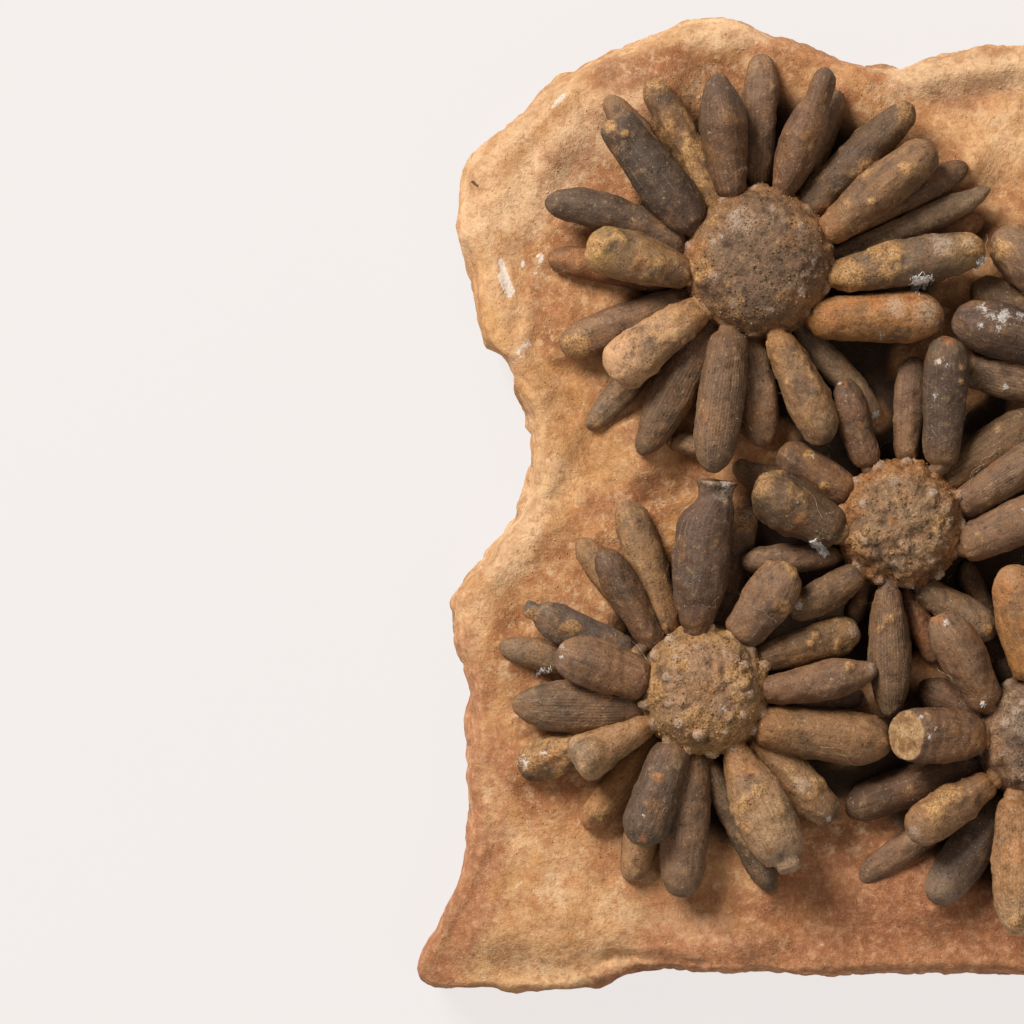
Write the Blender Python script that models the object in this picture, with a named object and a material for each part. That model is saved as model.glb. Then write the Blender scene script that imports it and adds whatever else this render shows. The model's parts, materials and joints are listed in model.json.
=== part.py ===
"""A loose slab of limestone with a group of fossil club-spined sea urchins, lying on its flat back.

Metres, +Z up. The origin is the middle of the slab's flat back. The slab is one solid. Each
urchin is one solid of its own: a low dome (the test) with its spines fused to it.
"""
import math
from collections import namedtuple

import bmesh
import bpy
from mathutils import Vector

MM = 0.001

# ---- driving dimensions, in metres ------------------------------------------------------------
SLAB_BELLY_Z = 0.009        # height at which the broken side stands out furthest
SLAB_BACK_INSET = 0.003     # how far the back edge lies inside the belly
BED_Z = 0.020               # the dished bed that the urchins lie on
BED_INSET = 0.013           # from the crest of the rim in to the bed
JOINT_GAP = 0.0003          # between an urchin and the bed under it
TEST_MIDDLE_Z = 0.031       # height of a test's widest ring
TEST_FLATNESS = 0.84        # half-height of a test over its radius

# ---- mesh fineness ----------------------------------------------------------------------------
SPINE_SIDES = 6
TEST_SIDES = 14
TEST_RING_ANGLES = (28, 52, 74, 94)     # degrees down from the pole
TEST_POLE_RADIUS = 0.10                 # the flat at the pole, as a part of the test's radius
SAME_POINT = 2e-6                       # vertices closer than this in metres become one

# ---- the slab's outline -----------------------------------------------------------------------
# It is 222 mm wide and 219.6 mm long. Going round clockwise from the lower left corner, in
# millimetres: x, y at the belly, how far the crest of the rim lies inside it, and the crest's
# height.
Edge = namedtuple("Edge", "x y inset crest")
OUTLINE = [
    Edge(-111.0, -108.6, 13, 16), Edge(-107.4, -99.8, 10, 21), Edge(-100.2, -84.2, 8, 24),
    Edge(-98.4, -73.6, 6, 25), Edge(-98.2, -52.0, 5, 25), Edge(-98.4, -39.6, 4, 26),
    Edge(-101.6, -24.2, 4, 26), Edge(-98.6, -17.6, 6, 26), Edge(-92.4, -9.6, 6, 26),
    Edge(-86.8, -1.6, 5, 26), Edge(-84.2, 13.2, 5, 26), Edge(-87.2, 25.6, 5, 27),
    Edge(-90.0, 33.2, 5, 27), Edge(-94.6, 37.0, 5, 27), Edge(-96.4, 47.8, 6, 27),
    Edge(-100.4, 61.4, 6, 26), Edge(-100.6, 70.6, 6, 26), Edge(-97.4, 79.0, 6, 26),
    Edge(-89.4, 86.0, 6, 26), Edge(-81.6, 93.0, 5, 26), Edge(-75.4, 97.6, 5, 26),
    Edge(-64.4, 102.0, 5, 27), Edge(-53.6, 107.2, 5, 27), Edge(-43.4, 109.8, 5, 27),
    Edge(-33.4, 107.6, 5, 26), Edge(-20.6, 103.2, 5, 25), Edge(-10.6, 99.8, 5, 25),
    Edge(0.6, 99.8, 5, 25), Edge(12.0, 103.0, 5, 26), Edge(28.0, 103.6, 5, 27),
    Edge(46.0, 105.4, 6, 27), Edge(62.0, 102.0, 6, 27), Edge(79.0, 96.0, 6, 26),
    Edge(93.0, 84.0, 6, 26), Edge(101.0, 66.0, 6, 26), Edge(104.0, 46.0, 5, 26),
    Edge(101.0, 27.0, 5, 27), Edge(106.0, 6.0, 5, 26), Edge(111.0, -16.0, 5, 26),
    Edge(109.0, -40.0, 5, 26), Edge(104.0, -60.0, 6, 26), Edge(106.0, -82.0, 7, 25),
    Edge(97.0, -98.0, 7, 24), Edge(76.0, -104.6, 6, 24), Edge(52.0, -107.8, 5, 25),
    Edge(28.0, -106.2, 5, 25), Edge(4.0, -105.6, 5, 25), Edge(-26.0, -105.8, 5, 25),
    Edge(-48.0, -105.4, 5, 25), Edge(-62.0, -105.4, 5, 24), Edge(-71.0, -108.4, 6, 22),
    Edge(-90.0, -109.8, 9, 19),
]

# ---- the urchins ------------------------------------------------------------------------------
# A spine's outline along its length: pairs of (part of its length, part of its half width).
FORMS = {
    "club": ((0.04, 0.64), (0.36, 0.95), (0.70, 1.02), (0.93, 0.78), (1.00, 0.36)),
    "point": ((0.04, 0.60), (0.42, 1.02), (0.78, 0.90), (1.00, 0.12)),
    "blob": ((0.04, 0.70), (0.34, 1.00), (0.68, 1.03), (0.92, 0.80), (1.00, 0.42)),
    "cut": ((0.04, 0.62), (0.50, 1.02), (0.96, 0.84), (1.00, 0.76)),
    "under": ((0.04, 0.64), (0.62, 1.02), (1.00, 0.46)),
    "cone": ((0.04, 0.54), (0.90, 1.02), (1.00, 0.76)),
}
NECK_WIDTH = 0.40           # part of the spine's half width
ROOT_DEPTH = 0.62           # where a neck ends inside the test, as a part of the test's radius

# All in millimetres from the slab's middle: the tip's x and y, the x and y at which the spine
# comes out beside the test, its greatest width, and the height of its middle at each end.
Spine = namedtuple("Spine", "tip_x tip_y base_x base_y width tip_z base_z form")
Urchin = namedtuple("Urchin", "name x y radius spines")

UPPER_LEFT = Urchin("urchin_upper_left", -33.5, 53.6, 17.0, [
    Spine(-80.8, 67.2, -52.0, 57.8, 8.0, 33, 33, "point"),
    Spine(-71.3, 57.0, -51.0, 51.3, 11.0, 38, 37, "blob"),
    Spine(-80.0, 55.5, -55.0, 50.0, 6.5, 26, 27, "under"),
    Spine(-65.5, 84.5, -49.0, 63.0, 11.0, 36, 36, "cut"),
    Spine(-66.9, 90.8, -48.5, 68.0, 7.0, 28, 28, "under"),
    Spine(-57.5, 94.0, -43.5, 67.5, 7.5, 30, 33, "club"),
    Spine(-42.8, 95.2, -39.8, 70.0, 10.5, 36, 36, "point"),
    Spine(-32.3, 100.5, -33.4, 73.0, 7.5, 27, 28, "under"),
    Spine(-18.2, 96.2, -27.6, 71.0, 10.0, 36, 36, "point"),
    Spine(-15.3, 92.2, -23.5, 69.0, 6.5, 26, 28, "under"),
    Spine(0.8, 88.5, -21.5, 66.5, 8.5, 32, 32, "club"),
    Spine(5.0, 79.0, -17.3, 60.8, 10.5, 37, 36, "club"),
    Spine(13.2, 75.5, -14.0, 61.5, 7.0, 29, 30, "under"),
    Spine(18.2, 70.2, -15.5, 55.5, 5.5, 31, 31, "point"),
    Spine(17.5, 63.5, -13.0, 54.0, 7.0, 25, 27, "under"),
    Spine(16.0, 56.5, -15.3, 50.5, 9.5, 37, 36, "cut"),
    Spine(7.5, 41.5, -20.0, 41.0, 11.0, 35, 35, "club"),
    Spine(-6.6, 19.2, -22.5, 37.5, 6.5, 27, 28, "under"),
    Spine(-18.6, 13.6, -28.6, 35.2, 9.5, 38, 37, "club"),
    Spine(-32.4, 12.8, -34.6, 34.5, 8.0, 30, 31, "under"),
    Spine(-44.0, 7.0, -40.3, 36.0, 10.0, 37, 36, "blob"),
    Spine(-59.5, 11.0, -44.3, 38.5, 9.0, 30, 31, "point"),
    Spine(-66.5, 28.5, -48.2, 42.0, 10.5, 37, 36, "blob"),
    Spine(-71.0, 17.0, -50.5, 41.0, 6.0, 25, 27, "under"),
    Spine(-77.5, 35.0, -51.0, 45.0, 9.0, 28, 30, "club"),
])

CENTRE = Urchin("urchin_centre", -2.0, -4.2, 14.2, [
    Spine(-29.0, 12.2, -15.3, 3.6, 9.0, 34, 34, "blob"),
    Spine(-34.6, 4.4, -17.8, -5.0, 11.0, 37, 36, "blob"),
    Spine(-38.6, 9.2, -17.5, -1.0, 8.0, 25, 27, "under"),
    Spine(-37.2, -13.0, -17.4, -11.6, 6.6, 31, 29, "club"),
    Spine(-26.6, -24.0, -13.0, -16.0, 7.8, 33, 34, "club"),
    Spine(-12.6, -26.8, -9.4, -18.2, 5.0, 26, 27, "under"),
    Spine(-4.0, -47.2, -4.8, -20.6, 9.8, 33, 34, "point"),
    Spine(6.2, -35.4, 0.6, -20.6, 6.0, 29, 28, "under"),
    Spine(19.2, -29.0, 4.0, -19.2, 8.0, 31, 32, "club"),
    Spine(32.6, -0.4, 13.2, -8.6, 10.6, 37, 35, "club"),
    Spine(31.4, 12.6, 12.6, 0.4, 9.0, 36, 34, "club"),
    Spine(29.6, 19.6, 9.0, 6.4, 10.0, 30, 31, "under"),
    Spine(7.8, 37.2, 6.6, 11.0, 9.2, 39, 36, "club"),
    Spine(1.6, 33.0, -0.3, 12.0, 6.6, 28, 28, "under"),
    Spine(-14.8, 27.4, -9.9, 10.6, 8.0, 35, 34, "club"),
])

LOWER_LEFT = Urchin("urchin_lower_left", -45.4, -41.0, 14.6, [
    Spine(-43.2, 5.4, -47.8, -25.4, 11.0, 36, 36, "cut"),
    Spine(-63.0, 1.0, -53.6, -27.0, 8.6, 26, 28, "under"),
    Spine(-68.2, -10.0, -57.1, -29.8, 7.7, 32, 31, "under"),
    Spine(-73.0, -7.6, -58.0, -28.6, 6.4, 25, 27, "under"),
    Spine(-85.1, -22.6, -60.4, -33.4, 8.0, 32, 32, "cut"),
    Spine(-91.0, -31.4, -61.0, -38.4, 7.0, 26, 28, "under"),
    Spine(-78.2, -32.6, -60.3, -38.6, 10.8, 37, 36, "blob"),
    Spine(-88.0, -44.4, -60.6, -44.9, 11.0, 31, 31, "point"),
    Spine(-74.4, -57.0, -58.6, -49.0, 10.0, 37, 35, "cone"),
    Spine(-86.6, -59.0, -59.7, -48.4, 9.6, 28, 29, "under"),
    Spine(-71.6, -72.0, -56.4, -52.4, 8.6, 26, 28, "under"),
    Spine(-60.0, -75.0, -53.0, -55.0, 10.0, 37, 35, "blob"),
    Spine(-61.6, -84.0, -53.6, -57.0, 8.0, 26, 28, "under"),
    Spine(-50.4, -86.9, -48.2, -57.0, 10.2, 31, 31, "club"),
    Spine(-30.0, -85.8, -43.6, -59.0, 7.0, 28, 29, "under"),
    Spine(-26.4, -80.6, -38.0, -56.2, 12.0, 37, 35, "club"),
    Spine(-16.6, -70.2, -33.0, -53.0, 9.0, 31, 31, "club"),
    Spine(-3.8, -52.6, -31.9, -49.2, 11.6, 32, 34, "club"),
    Spine(-7.6, -36.2, -30.6, -40.8, 8.4, 38, 36, "point"),
    Spine(-11.0, -27.6, -31.4, -33.4, 8.8, 31, 33, "club"),
    Spine(-26.8, -13.4, -36.8, -27.6, 10.4, 39, 37, "blob"),
    Spine(-35.8, 0.2, -41.4, -26.6, 7.2, 24, 27, "under"),
    Spine(-9.4, -42.6, -31.0, -45.2, 6.0, 25, 28, "under"),
])

LOWER_RIGHT = Urchin("urchin_lower_right", 28.9, -51.4, 14.5, [
    Spine(-3.8, -50.6, 13.6, -50.8, 11.2, 42, 38, "cut"),
    Spine(-13.8, -68.0, 14.6, -58.0, 9.4, 26, 28, "under"),
    Spine(-1.0, -72.6, 15.8, -62.0, 8.2, 37, 36, "club"),
    Spine(-11.6, -82.4, 17.0, -64.0, 7.6, 25, 29, "under"),
    Spine(5.4, -88.2, 20.6, -66.4, 9.6, 29, 30, "under"),
    Spine(23.6, -94.4, 23.2, -66.8, 11.6, 36, 36, "club"),
    Spine(5.6, -24.2, 16.0, -42.6, 10.2, 40, 37, "blob"),
    Spine(12.7, -12.6, 23.0, -37.8, 5.8, 24, 25, "under"),
    Spine(21.6, -13.2, 26.6, -36.2, 11.6, 38, 37, "blob"),
    Spine(3.0, -40.4, 14.6, -46.0, 8.0, 25, 28, "under"),
    Spine(34.0, -17.0, 31.6, -36.0, 8.0, 28, 29, "under"),
    Spine(44.0, -20.0, 36.6, -38.0, 9.6, 36, 35, "club"),
    Spine(57.0, -33.6, 42.0, -43.6, 9.0, 30, 32, "club"),
    Spine(60.4, -48.0, 44.2, -50.4, 10.6, 36, 35, "blob"),
    Spine(63.0, -62.0, 43.4, -56.8, 8.4, 29, 30, "under"),
    Spine(58.0, -75.6, 40.8, -61.8, 10.4, 36, 35, "club"),
    Spine(47.0, -86.0, 36.8, -65.0, 8.6, 29, 30, "under"),
    Spine(35.6, -92.6, 30.6, -66.8, 9.4, 33, 34, "point"),
])

UPPER_RIGHT = Urchin("urchin_upper_right", 50.0, 31.0, 15.0, [
    Spine(9.2, 41.2, 34.6, 34.2, 11.4, 34, 34, "blob"),
    Spine(13.0, 30.0, 34.4, 25.6, 8.6, 30, 31, "cut"),
    Spine(19.0, 60.4, 38.6, 42.6, 11.4, 32, 33, "blob"),
    Spine(14.2, 48.6, 35.6, 37.6, 9.6, 28, 30, "under"),
    Spine(35.6, 70.0, 43.4, 46.0, 9.0, 29, 30, "under"),
    Spine(48.0, 74.0, 49.4, 47.0, 10.6, 36, 35, "club"),
    Spine(63.0, 70.6, 56.6, 45.6, 8.4, 29, 30, "under"),
    Spine(77.0, 58.6, 62.4, 41.6, 10.0, 36, 35, "blob"),
    Spine(85.0, 44.0, 65.4, 36.0, 8.8, 30, 31, "club"),
    Spine(88.4, 27.6, 66.0, 29.4, 11.0, 36, 35, "point"),
    Spine(82.0, 11.6, 63.6, 22.6, 8.4, 29, 30, "under"),
    Spine(68.0, 3.0, 57.6, 17.4, 9.6, 36, 35, "club"),
    Spine(50.6, -0.6, 50.4, 15.4, 8.0, 29, 30, "under"),
    Spine(38.6, 5.6, 42.4, 17.6, 8.8, 36, 34, "blob"),
])

RIGHT = Urchin("urchin_right", 76.0, -24.0, 14.0, [
    Spine(47.0, -9.0, 62.6, -17.4, 8.6, 29, 30, "under"),
    Spine(51.0, -22.6, 61.0, -23.4, 9.0, 36, 35, "blob"),
    Spine(66.0, -4.6, 71.0, -9.6, 7.4, 36, 34, "blob"),
    Spine(83.0, 3.6, 79.0, -9.0, 9.4, 36, 35, "club"),
    Spine(97.0, -2.0, 86.4, -13.2, 8.2, 29, 30, "under"),
    Spine(104.0, -15.0, 90.4, -19.6, 9.8, 36, 35, "blob"),
    Spine(104.6, -31.0, 91.0, -27.2, 8.4, 29, 31, "club"),
    Spine(99.0, -46.0, 87.6, -34.0, 9.6, 36, 35, "club"),
    Spine(86.0, -56.4, 81.4, -38.4, 8.4, 29, 30, "under"),
    Spine(73.0, -55.0, 74.6, -39.4, 10.0, 36, 35, "blob"),
])

URCHINS = [UPPER_LEFT, CENTRE, LOWER_LEFT, LOWER_RIGHT, UPPER_RIGHT, RIGHT]

# Loose pieces of spine lying half sunk in the slab, in millimetres: the two ends, width, height.
# Their form is pairs of (part of the length, part of the half width), like a spine's.
Fragment = namedtuple("Fragment", "x1 y1 x2 y2 width z")
FRAGMENT_FORM = ((0.0, 0.5), (0.2, 0.9), (0.75, 1.0), (1.0, 0.45))
FRAGMENTS = [
    Fragment(-52.4, 14.2, -45.4, 12.6, 4.4, 21.6),
    Fragment(66.0, 84.0, 82.0, 76.0, 8.0, 21.5),
    Fragment(88.0, -82.0, 76.0, -90.0, 7.0, 21.5),
]


def material(name, colour, roughness):
    """A plain Principled material."""
    made = bpy.data.materials.new(name)
    made.use_nodes = True
    shader = made.node_tree.nodes["Principled BSDF"]
    shader.inputs["Base Color"].default_value = (*colour, 1.0)
    shader.inputs["Roughness"].default_value = roughness
    shader.inputs["Metallic"].default_value = 0.0
    return made


def skin_rings(name, rings):
    """A closed body from rings of equal length, first to last, with an n-gon at each end."""
    shape = bmesh.new()
    loops = [[shape.verts.new(point) for point in ring] for ring in rings]
    count = len(loops[0])
    for lower, upper in zip(loops, loops[1:]):
        for i in range(count):
            j = (i + 1) % count
            shape.faces.new((lower[i], lower[j], upper[j], upper[i]))
    shape.faces.new(list(reversed(loops[0])))
    shape.faces.new(loops[-1])
    bmesh.ops.recalc_face_normals(shape, faces=shape.faces)
    bmesh.ops.triangulate(shape, faces=shape.faces)
    mesh = bpy.data.meshes.new(name)
    shape.to_mesh(mesh)
    shape.free()
    piece = bpy.data.objects.new(name, mesh)
    bpy.context.collection.objects.link(piece)
    return piece


def tube(name, stations):
    """A closed round body through stations of (middle, radius), its rings square to its length."""
    points = [Vector(middle) for middle, _ in stations]
    rings = []
    for i, (_, radius) in enumerate(stations):
        along = (points[min(i + 1, len(points) - 1)] - points[max(i - 1, 0)]).normalized()
        side = along.cross(Vector((0, 0, 1))).normalized()
        up = side.cross(along)
        turns = [2 * math.pi * k / SPINE_SIDES for k in range(SPINE_SIDES)]
        rings.append([points[i] + radius * (math.cos(a) * side + math.sin(a) * up)
                      for a in turns])
    return skin_rings(name, rings)


def spine_body(name, spine, urchin):
    """One spine: a neck that starts inside the test, then the club out to its tip."""
    base = Vector((spine.base_x, spine.base_y, spine.base_z)) * MM
    tip = Vector((spine.tip_x, spine.tip_y, spine.tip_z)) * MM
    heart = Vector((urchin.x * MM, urchin.y * MM, TEST_MIDDLE_Z))
    outward = (base - heart) * Vector((1, 1, 0))
    root = heart + outward.normalized() * urchin.radius * MM * ROOT_DEPTH
    root.z = 0.5 * (TEST_MIDDLE_Z + base.z)
    half = 0.5 * spine.width * MM
    stations = [(root, half * NECK_WIDTH)]
    for along, fatness in FORMS[spine.form]:
        stations.append((base.lerp(tip, along), half * fatness))
    return tube(name, stations)


def test_body(name, urchin):
    """The test: a low dome turned about its own upright axis, cut off flat just above the bed."""
    radius = urchin.radius * MM
    half_height = radius * TEST_FLATNESS
    floor_z = BED_Z + JOINT_GAP
    profile = [(radius * TEST_POLE_RADIUS, half_height)]
    for angle in TEST_RING_ANGLES:
        turn = math.radians(angle)
        profile.append((radius * math.sin(turn), half_height * math.cos(turn)))
    floor_drop = floor_z - TEST_MIDDLE_Z
    profile.append((radius * math.sqrt(1 - (floor_drop / half_height) ** 2), floor_drop))
    rings = []
    for ring_radius, height in profile:
        turns = [2 * math.pi * k / TEST_SIDES for k in range(TEST_SIDES)]
        rings.append([(urchin.x * MM + ring_radius * math.cos(a),
                       urchin.y * MM + ring_radius * math.sin(a),
                       TEST_MIDDLE_Z + height) for a in turns])
    return skin_rings(name, rings)


def fuse(target, bodies):
    """Union the bodies into the target, apply it, and drop any hollow sealed up inside."""
    tools = bpy.data.collections.new(target.name + "_tools")
    for body in bodies:
        tools.objects.link(body)
        bpy.context.collection.objects.unlink(body)
    union = target.modifiers.new("union", "BOOLEAN")
    union.operation = "UNION"
    union.solver = "EXACT"
    union.operand_type = "COLLECTION"
    union.collection = tools
    bpy.context.view_layer.update()
    depsgraph = bpy.context.evaluated_depsgraph_get()
    fused = bpy.data.meshes.new_from_object(target.evaluated_get(depsgraph))
    target.modifiers.remove(union)
    target.data = fused
    for body in bodies:
        bpy.data.objects.remove(body)
    bpy.data.collections.remove(tools)
    keep_outer_shell(fused)


def keep_outer_shell(mesh):
    """Keep the largest connected shell of a mesh and delete the small sealed ones inside it."""
    shape = bmesh.new()
    shape.from_mesh(mesh)
    bmesh.ops.remove_doubles(shape, verts=shape.verts, dist=SAME_POINT)
    bmesh.ops.dissolve_degenerate(shape, edges=shape.edges, dist=SAME_POINT)
    unseen = set(shape.verts)
    shells = []
    while unseen:
        shell = [unseen.pop()]
        for vert in shell:
            for edge in vert.link_edges:
                other = edge.other_vert(vert)
                if other in unseen:
                    unseen.discard(other)
                    shell.append(other)
        shells.append(shell)
    shells.sort(key=len)
    for shell in shells[:-1]:
        bmesh.ops.delete(shape, geom=shell, context="VERTS")
    bmesh.ops.triangulate(shape, faces=shape.faces)
    shape.to_mesh(mesh)
    shape.free()


def slab_body():
    """The slab: a flat back, a broken side that bulges, a raised rim and a dished bed."""
    belly, back, crest, bed = [], [], [], []
    for edge in OUTLINE:
        outer = Vector((edge.x, edge.y)) * MM
        inward = -outer.normalized()
        belly.append((*outer, SLAB_BELLY_Z))
        back.append((*(outer + inward * SLAB_BACK_INSET), 0.0))
        top = outer + inward * edge.inset * MM
        crest.append((*top, edge.crest * MM))
        bed.append((*(top + inward * BED_INSET), BED_Z))
    slab = skin_rings("matrix_slab", [back, belly, crest, bed])
    fragments = []
    for fragment in FRAGMENTS:
        start = Vector((fragment.x1, fragment.y1, fragment.z)) * MM
        end = Vector((fragment.x2, fragment.y2, fragment.z)) * MM
        half = 0.5 * fragment.width * MM
        fragments.append(tube("fragment", [(start.lerp(end, along), half * fatness)
                                           for along, fatness in FRAGMENT_FORM]))
    fuse(slab, fragments)
    return slab


def urchin_body(urchin):
    """One urchin: its test with all its spines fused on."""
    body = test_body(urchin.name, urchin)
    spines = [spine_body("spine", spine, urchin) for spine in urchin.spines]
    fuse(body, spines)
    return body


def main():
    for old in list(bpy.data.objects):
        bpy.data.objects.remove(old)
    limestone = material("limestone", (0.58, 0.36, 0.19), 0.92)
    fossil = material("fossil_calcite", (0.15, 0.09, 0.055), 0.8)
    slab = slab_body()
    slab.data.materials.append(limestone)
    for urchin in URCHINS:
        body = urchin_body(urchin)
        body.data.materials.clear()
        body.data.materials.append(fossil)


main()
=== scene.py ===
# %% [markdown]
# # A plate of club-spined sea urchins
# The real object is a loose slab of limestone, about as big as a dinner plate. Six sea urchins
# lie on it, each a low round shell (the test) with a sunburst of fat, club-shaped spines.
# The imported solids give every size. This script loads them as a fixed frame and then dresses
# them: each solid is replaced by a finely shaped skin that stays where the solid is.

# %% Load the frame
import json
import math
from collections import namedtuple

import bpy
import numpy as np
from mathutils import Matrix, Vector
from mathutils.bvhtree import BVHTree

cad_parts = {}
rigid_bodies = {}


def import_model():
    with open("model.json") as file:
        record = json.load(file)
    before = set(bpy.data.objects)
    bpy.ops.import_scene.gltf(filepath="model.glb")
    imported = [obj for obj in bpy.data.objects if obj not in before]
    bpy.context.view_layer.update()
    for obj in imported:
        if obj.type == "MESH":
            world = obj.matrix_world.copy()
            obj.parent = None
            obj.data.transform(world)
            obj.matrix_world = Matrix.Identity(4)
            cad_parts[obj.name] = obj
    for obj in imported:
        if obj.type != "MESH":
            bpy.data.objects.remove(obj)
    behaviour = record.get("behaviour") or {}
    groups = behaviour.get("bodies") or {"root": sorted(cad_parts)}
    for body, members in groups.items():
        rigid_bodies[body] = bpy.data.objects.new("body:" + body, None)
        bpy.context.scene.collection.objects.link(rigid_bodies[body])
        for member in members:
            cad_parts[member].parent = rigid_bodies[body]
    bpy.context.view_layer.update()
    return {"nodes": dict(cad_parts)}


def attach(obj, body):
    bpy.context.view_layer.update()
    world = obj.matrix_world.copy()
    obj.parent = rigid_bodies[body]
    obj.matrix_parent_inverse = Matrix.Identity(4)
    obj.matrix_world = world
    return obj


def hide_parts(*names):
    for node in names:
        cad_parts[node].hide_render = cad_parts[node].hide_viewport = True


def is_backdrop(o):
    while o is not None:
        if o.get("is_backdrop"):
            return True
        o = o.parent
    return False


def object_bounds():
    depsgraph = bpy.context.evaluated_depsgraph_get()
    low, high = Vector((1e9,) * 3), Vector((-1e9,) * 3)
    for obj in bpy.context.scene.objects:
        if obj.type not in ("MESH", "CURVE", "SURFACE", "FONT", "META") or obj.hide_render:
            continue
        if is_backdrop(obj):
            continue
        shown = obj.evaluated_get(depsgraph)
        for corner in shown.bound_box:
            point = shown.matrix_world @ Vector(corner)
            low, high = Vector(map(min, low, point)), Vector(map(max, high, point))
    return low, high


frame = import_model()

MM = 0.001


def rows(text):
    """Reads a table: its rows are parted by commas, and the values in a row by blanks."""
    return [[word if word[-1].isalpha() or word[0] == "#" else float(word)
             for word in row.split()] for row in text.split(",")]


print("solids:", ", ".join(sorted(frame["nodes"])))

# %% [markdown]
# ## Camera, floor and light
# The slab lies on its flat back, so the camera hangs above it and looks straight down. It sees
# the left part of the slab, with pale ground to the left. A long lens far away keeps the fat
# spines from spreading outwards. The light is one big window beyond the top left, which leaves
# the gaps between the spines dark, and a weaker one opposite, with a little light from all
# round. Both stand about two metres off, so the light falls evenly across the whole slab.

# %% Camera
scene = bpy.context.scene
scene.view_settings.view_transform = "Standard"
lens = bpy.data.cameras.new("camera")
lens.lens, lens.sensor_width = 150, 36
lens.clip_start, lens.clip_end = 0.05, 20
camera = bpy.data.objects.new("camera", lens)
scene.collection.objects.link(camera)
camera.location = (-88.0 * MM, -1.6 * MM, 976.667 * MM)
scene.camera = camera
print("camera", [round(1000 * v) for v in camera.location], "mm, looking straight down")


# %% Lights
def soft_box(name, place, aim, size, watts, colour):
    """A square area light of that size in metres, which looks at a point."""
    data = bpy.data.lights.new(name, "AREA")
    data.shape, data.size, data.energy, data.color = "SQUARE", size, watts, colour
    light = bpy.data.objects.new(name, data)
    light.location = place
    light.rotation_euler = (Vector(aim) - Vector(place)).to_track_quat("-Z", "Y").to_euler()
    scene.collection.objects.link(light)


SLAB_MIDDLE = (-0.04, 0.0, 0.03)
soft_box("window", (-1.06, 1.20, 1.30), SLAB_MIDDLE, 0.80, 57.0, (1.0, 0.98, 0.955))
soft_box("reflector", (0.8, -0.7, 1.9), SLAB_MIDDLE, 1.2, 6.2, (1.0, 0.97, 0.94))
surroundings = bpy.data.worlds.new("surroundings")
surroundings.use_nodes = True
air = surroundings.node_tree.nodes["Background"]
air.inputs["Color"].default_value = (1.0, 0.97, 0.95, 1)
air.inputs["Strength"].default_value = 0.22
scene.world = surroundings
print("two soft boxes and a pale surround")

# %% [markdown]
# ## Writing node trees as sums
# Colours of stone are sums of many faint noises. Wiring those by hand gives long lists of
# nodes, so two small classes let us write them as Python sums. A `Wire` is the output of a
# node: `a * 0.5 + b` adds the Math nodes by itself. A `Sheet` is a node tree, and its one
# method `node` makes any other node from its type, its settings and its sockets. Both work for
# shader trees and for Geometry Nodes trees.


# %% Wires
class Wire:
    """The output of a node, which can stand in a Python sum."""

    def __init__(self, sheet, socket):
        self.sheet, self.socket = sheet, socket

    def sum(self, operation, *values):
        return self.sheet.node("ShaderNodeMath", {"operation": operation}, dict(enumerate(values)))

    def cosine(self):
        return self.sum("COSINE", self)

    def between(self, low, high):
        """0 below low, 1 above high, and a smooth step from one to the other."""
        return self.sheet.node("ShaderNodeMapRange", {"interpolation_type": "SMOOTHSTEP"},
                               {"Value": self, "From Min": low, "From Max": high})


# Each sign works with the wire on either side of it.
for sign, operation in (("add", "ADD"), ("sub", "SUBTRACT"), ("mul", "MULTIPLY"),
                        ("truediv", "DIVIDE"), ("pow", "POWER")):
    setattr(Wire, f"__{sign}__", lambda a, b, work=operation: a.sum(work, a, b))
    setattr(Wire, f"__r{sign}__", lambda a, b, work=operation: a.sum(work, b, a))
print("a Wire can be added, taken away, multiplied and so on")

# %% [markdown]
# The sheet makes the nodes. Besides `node` it has short names for the few that come up again
# and again: a mix of two colours, noise, a stored value and a stain made from it.


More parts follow.
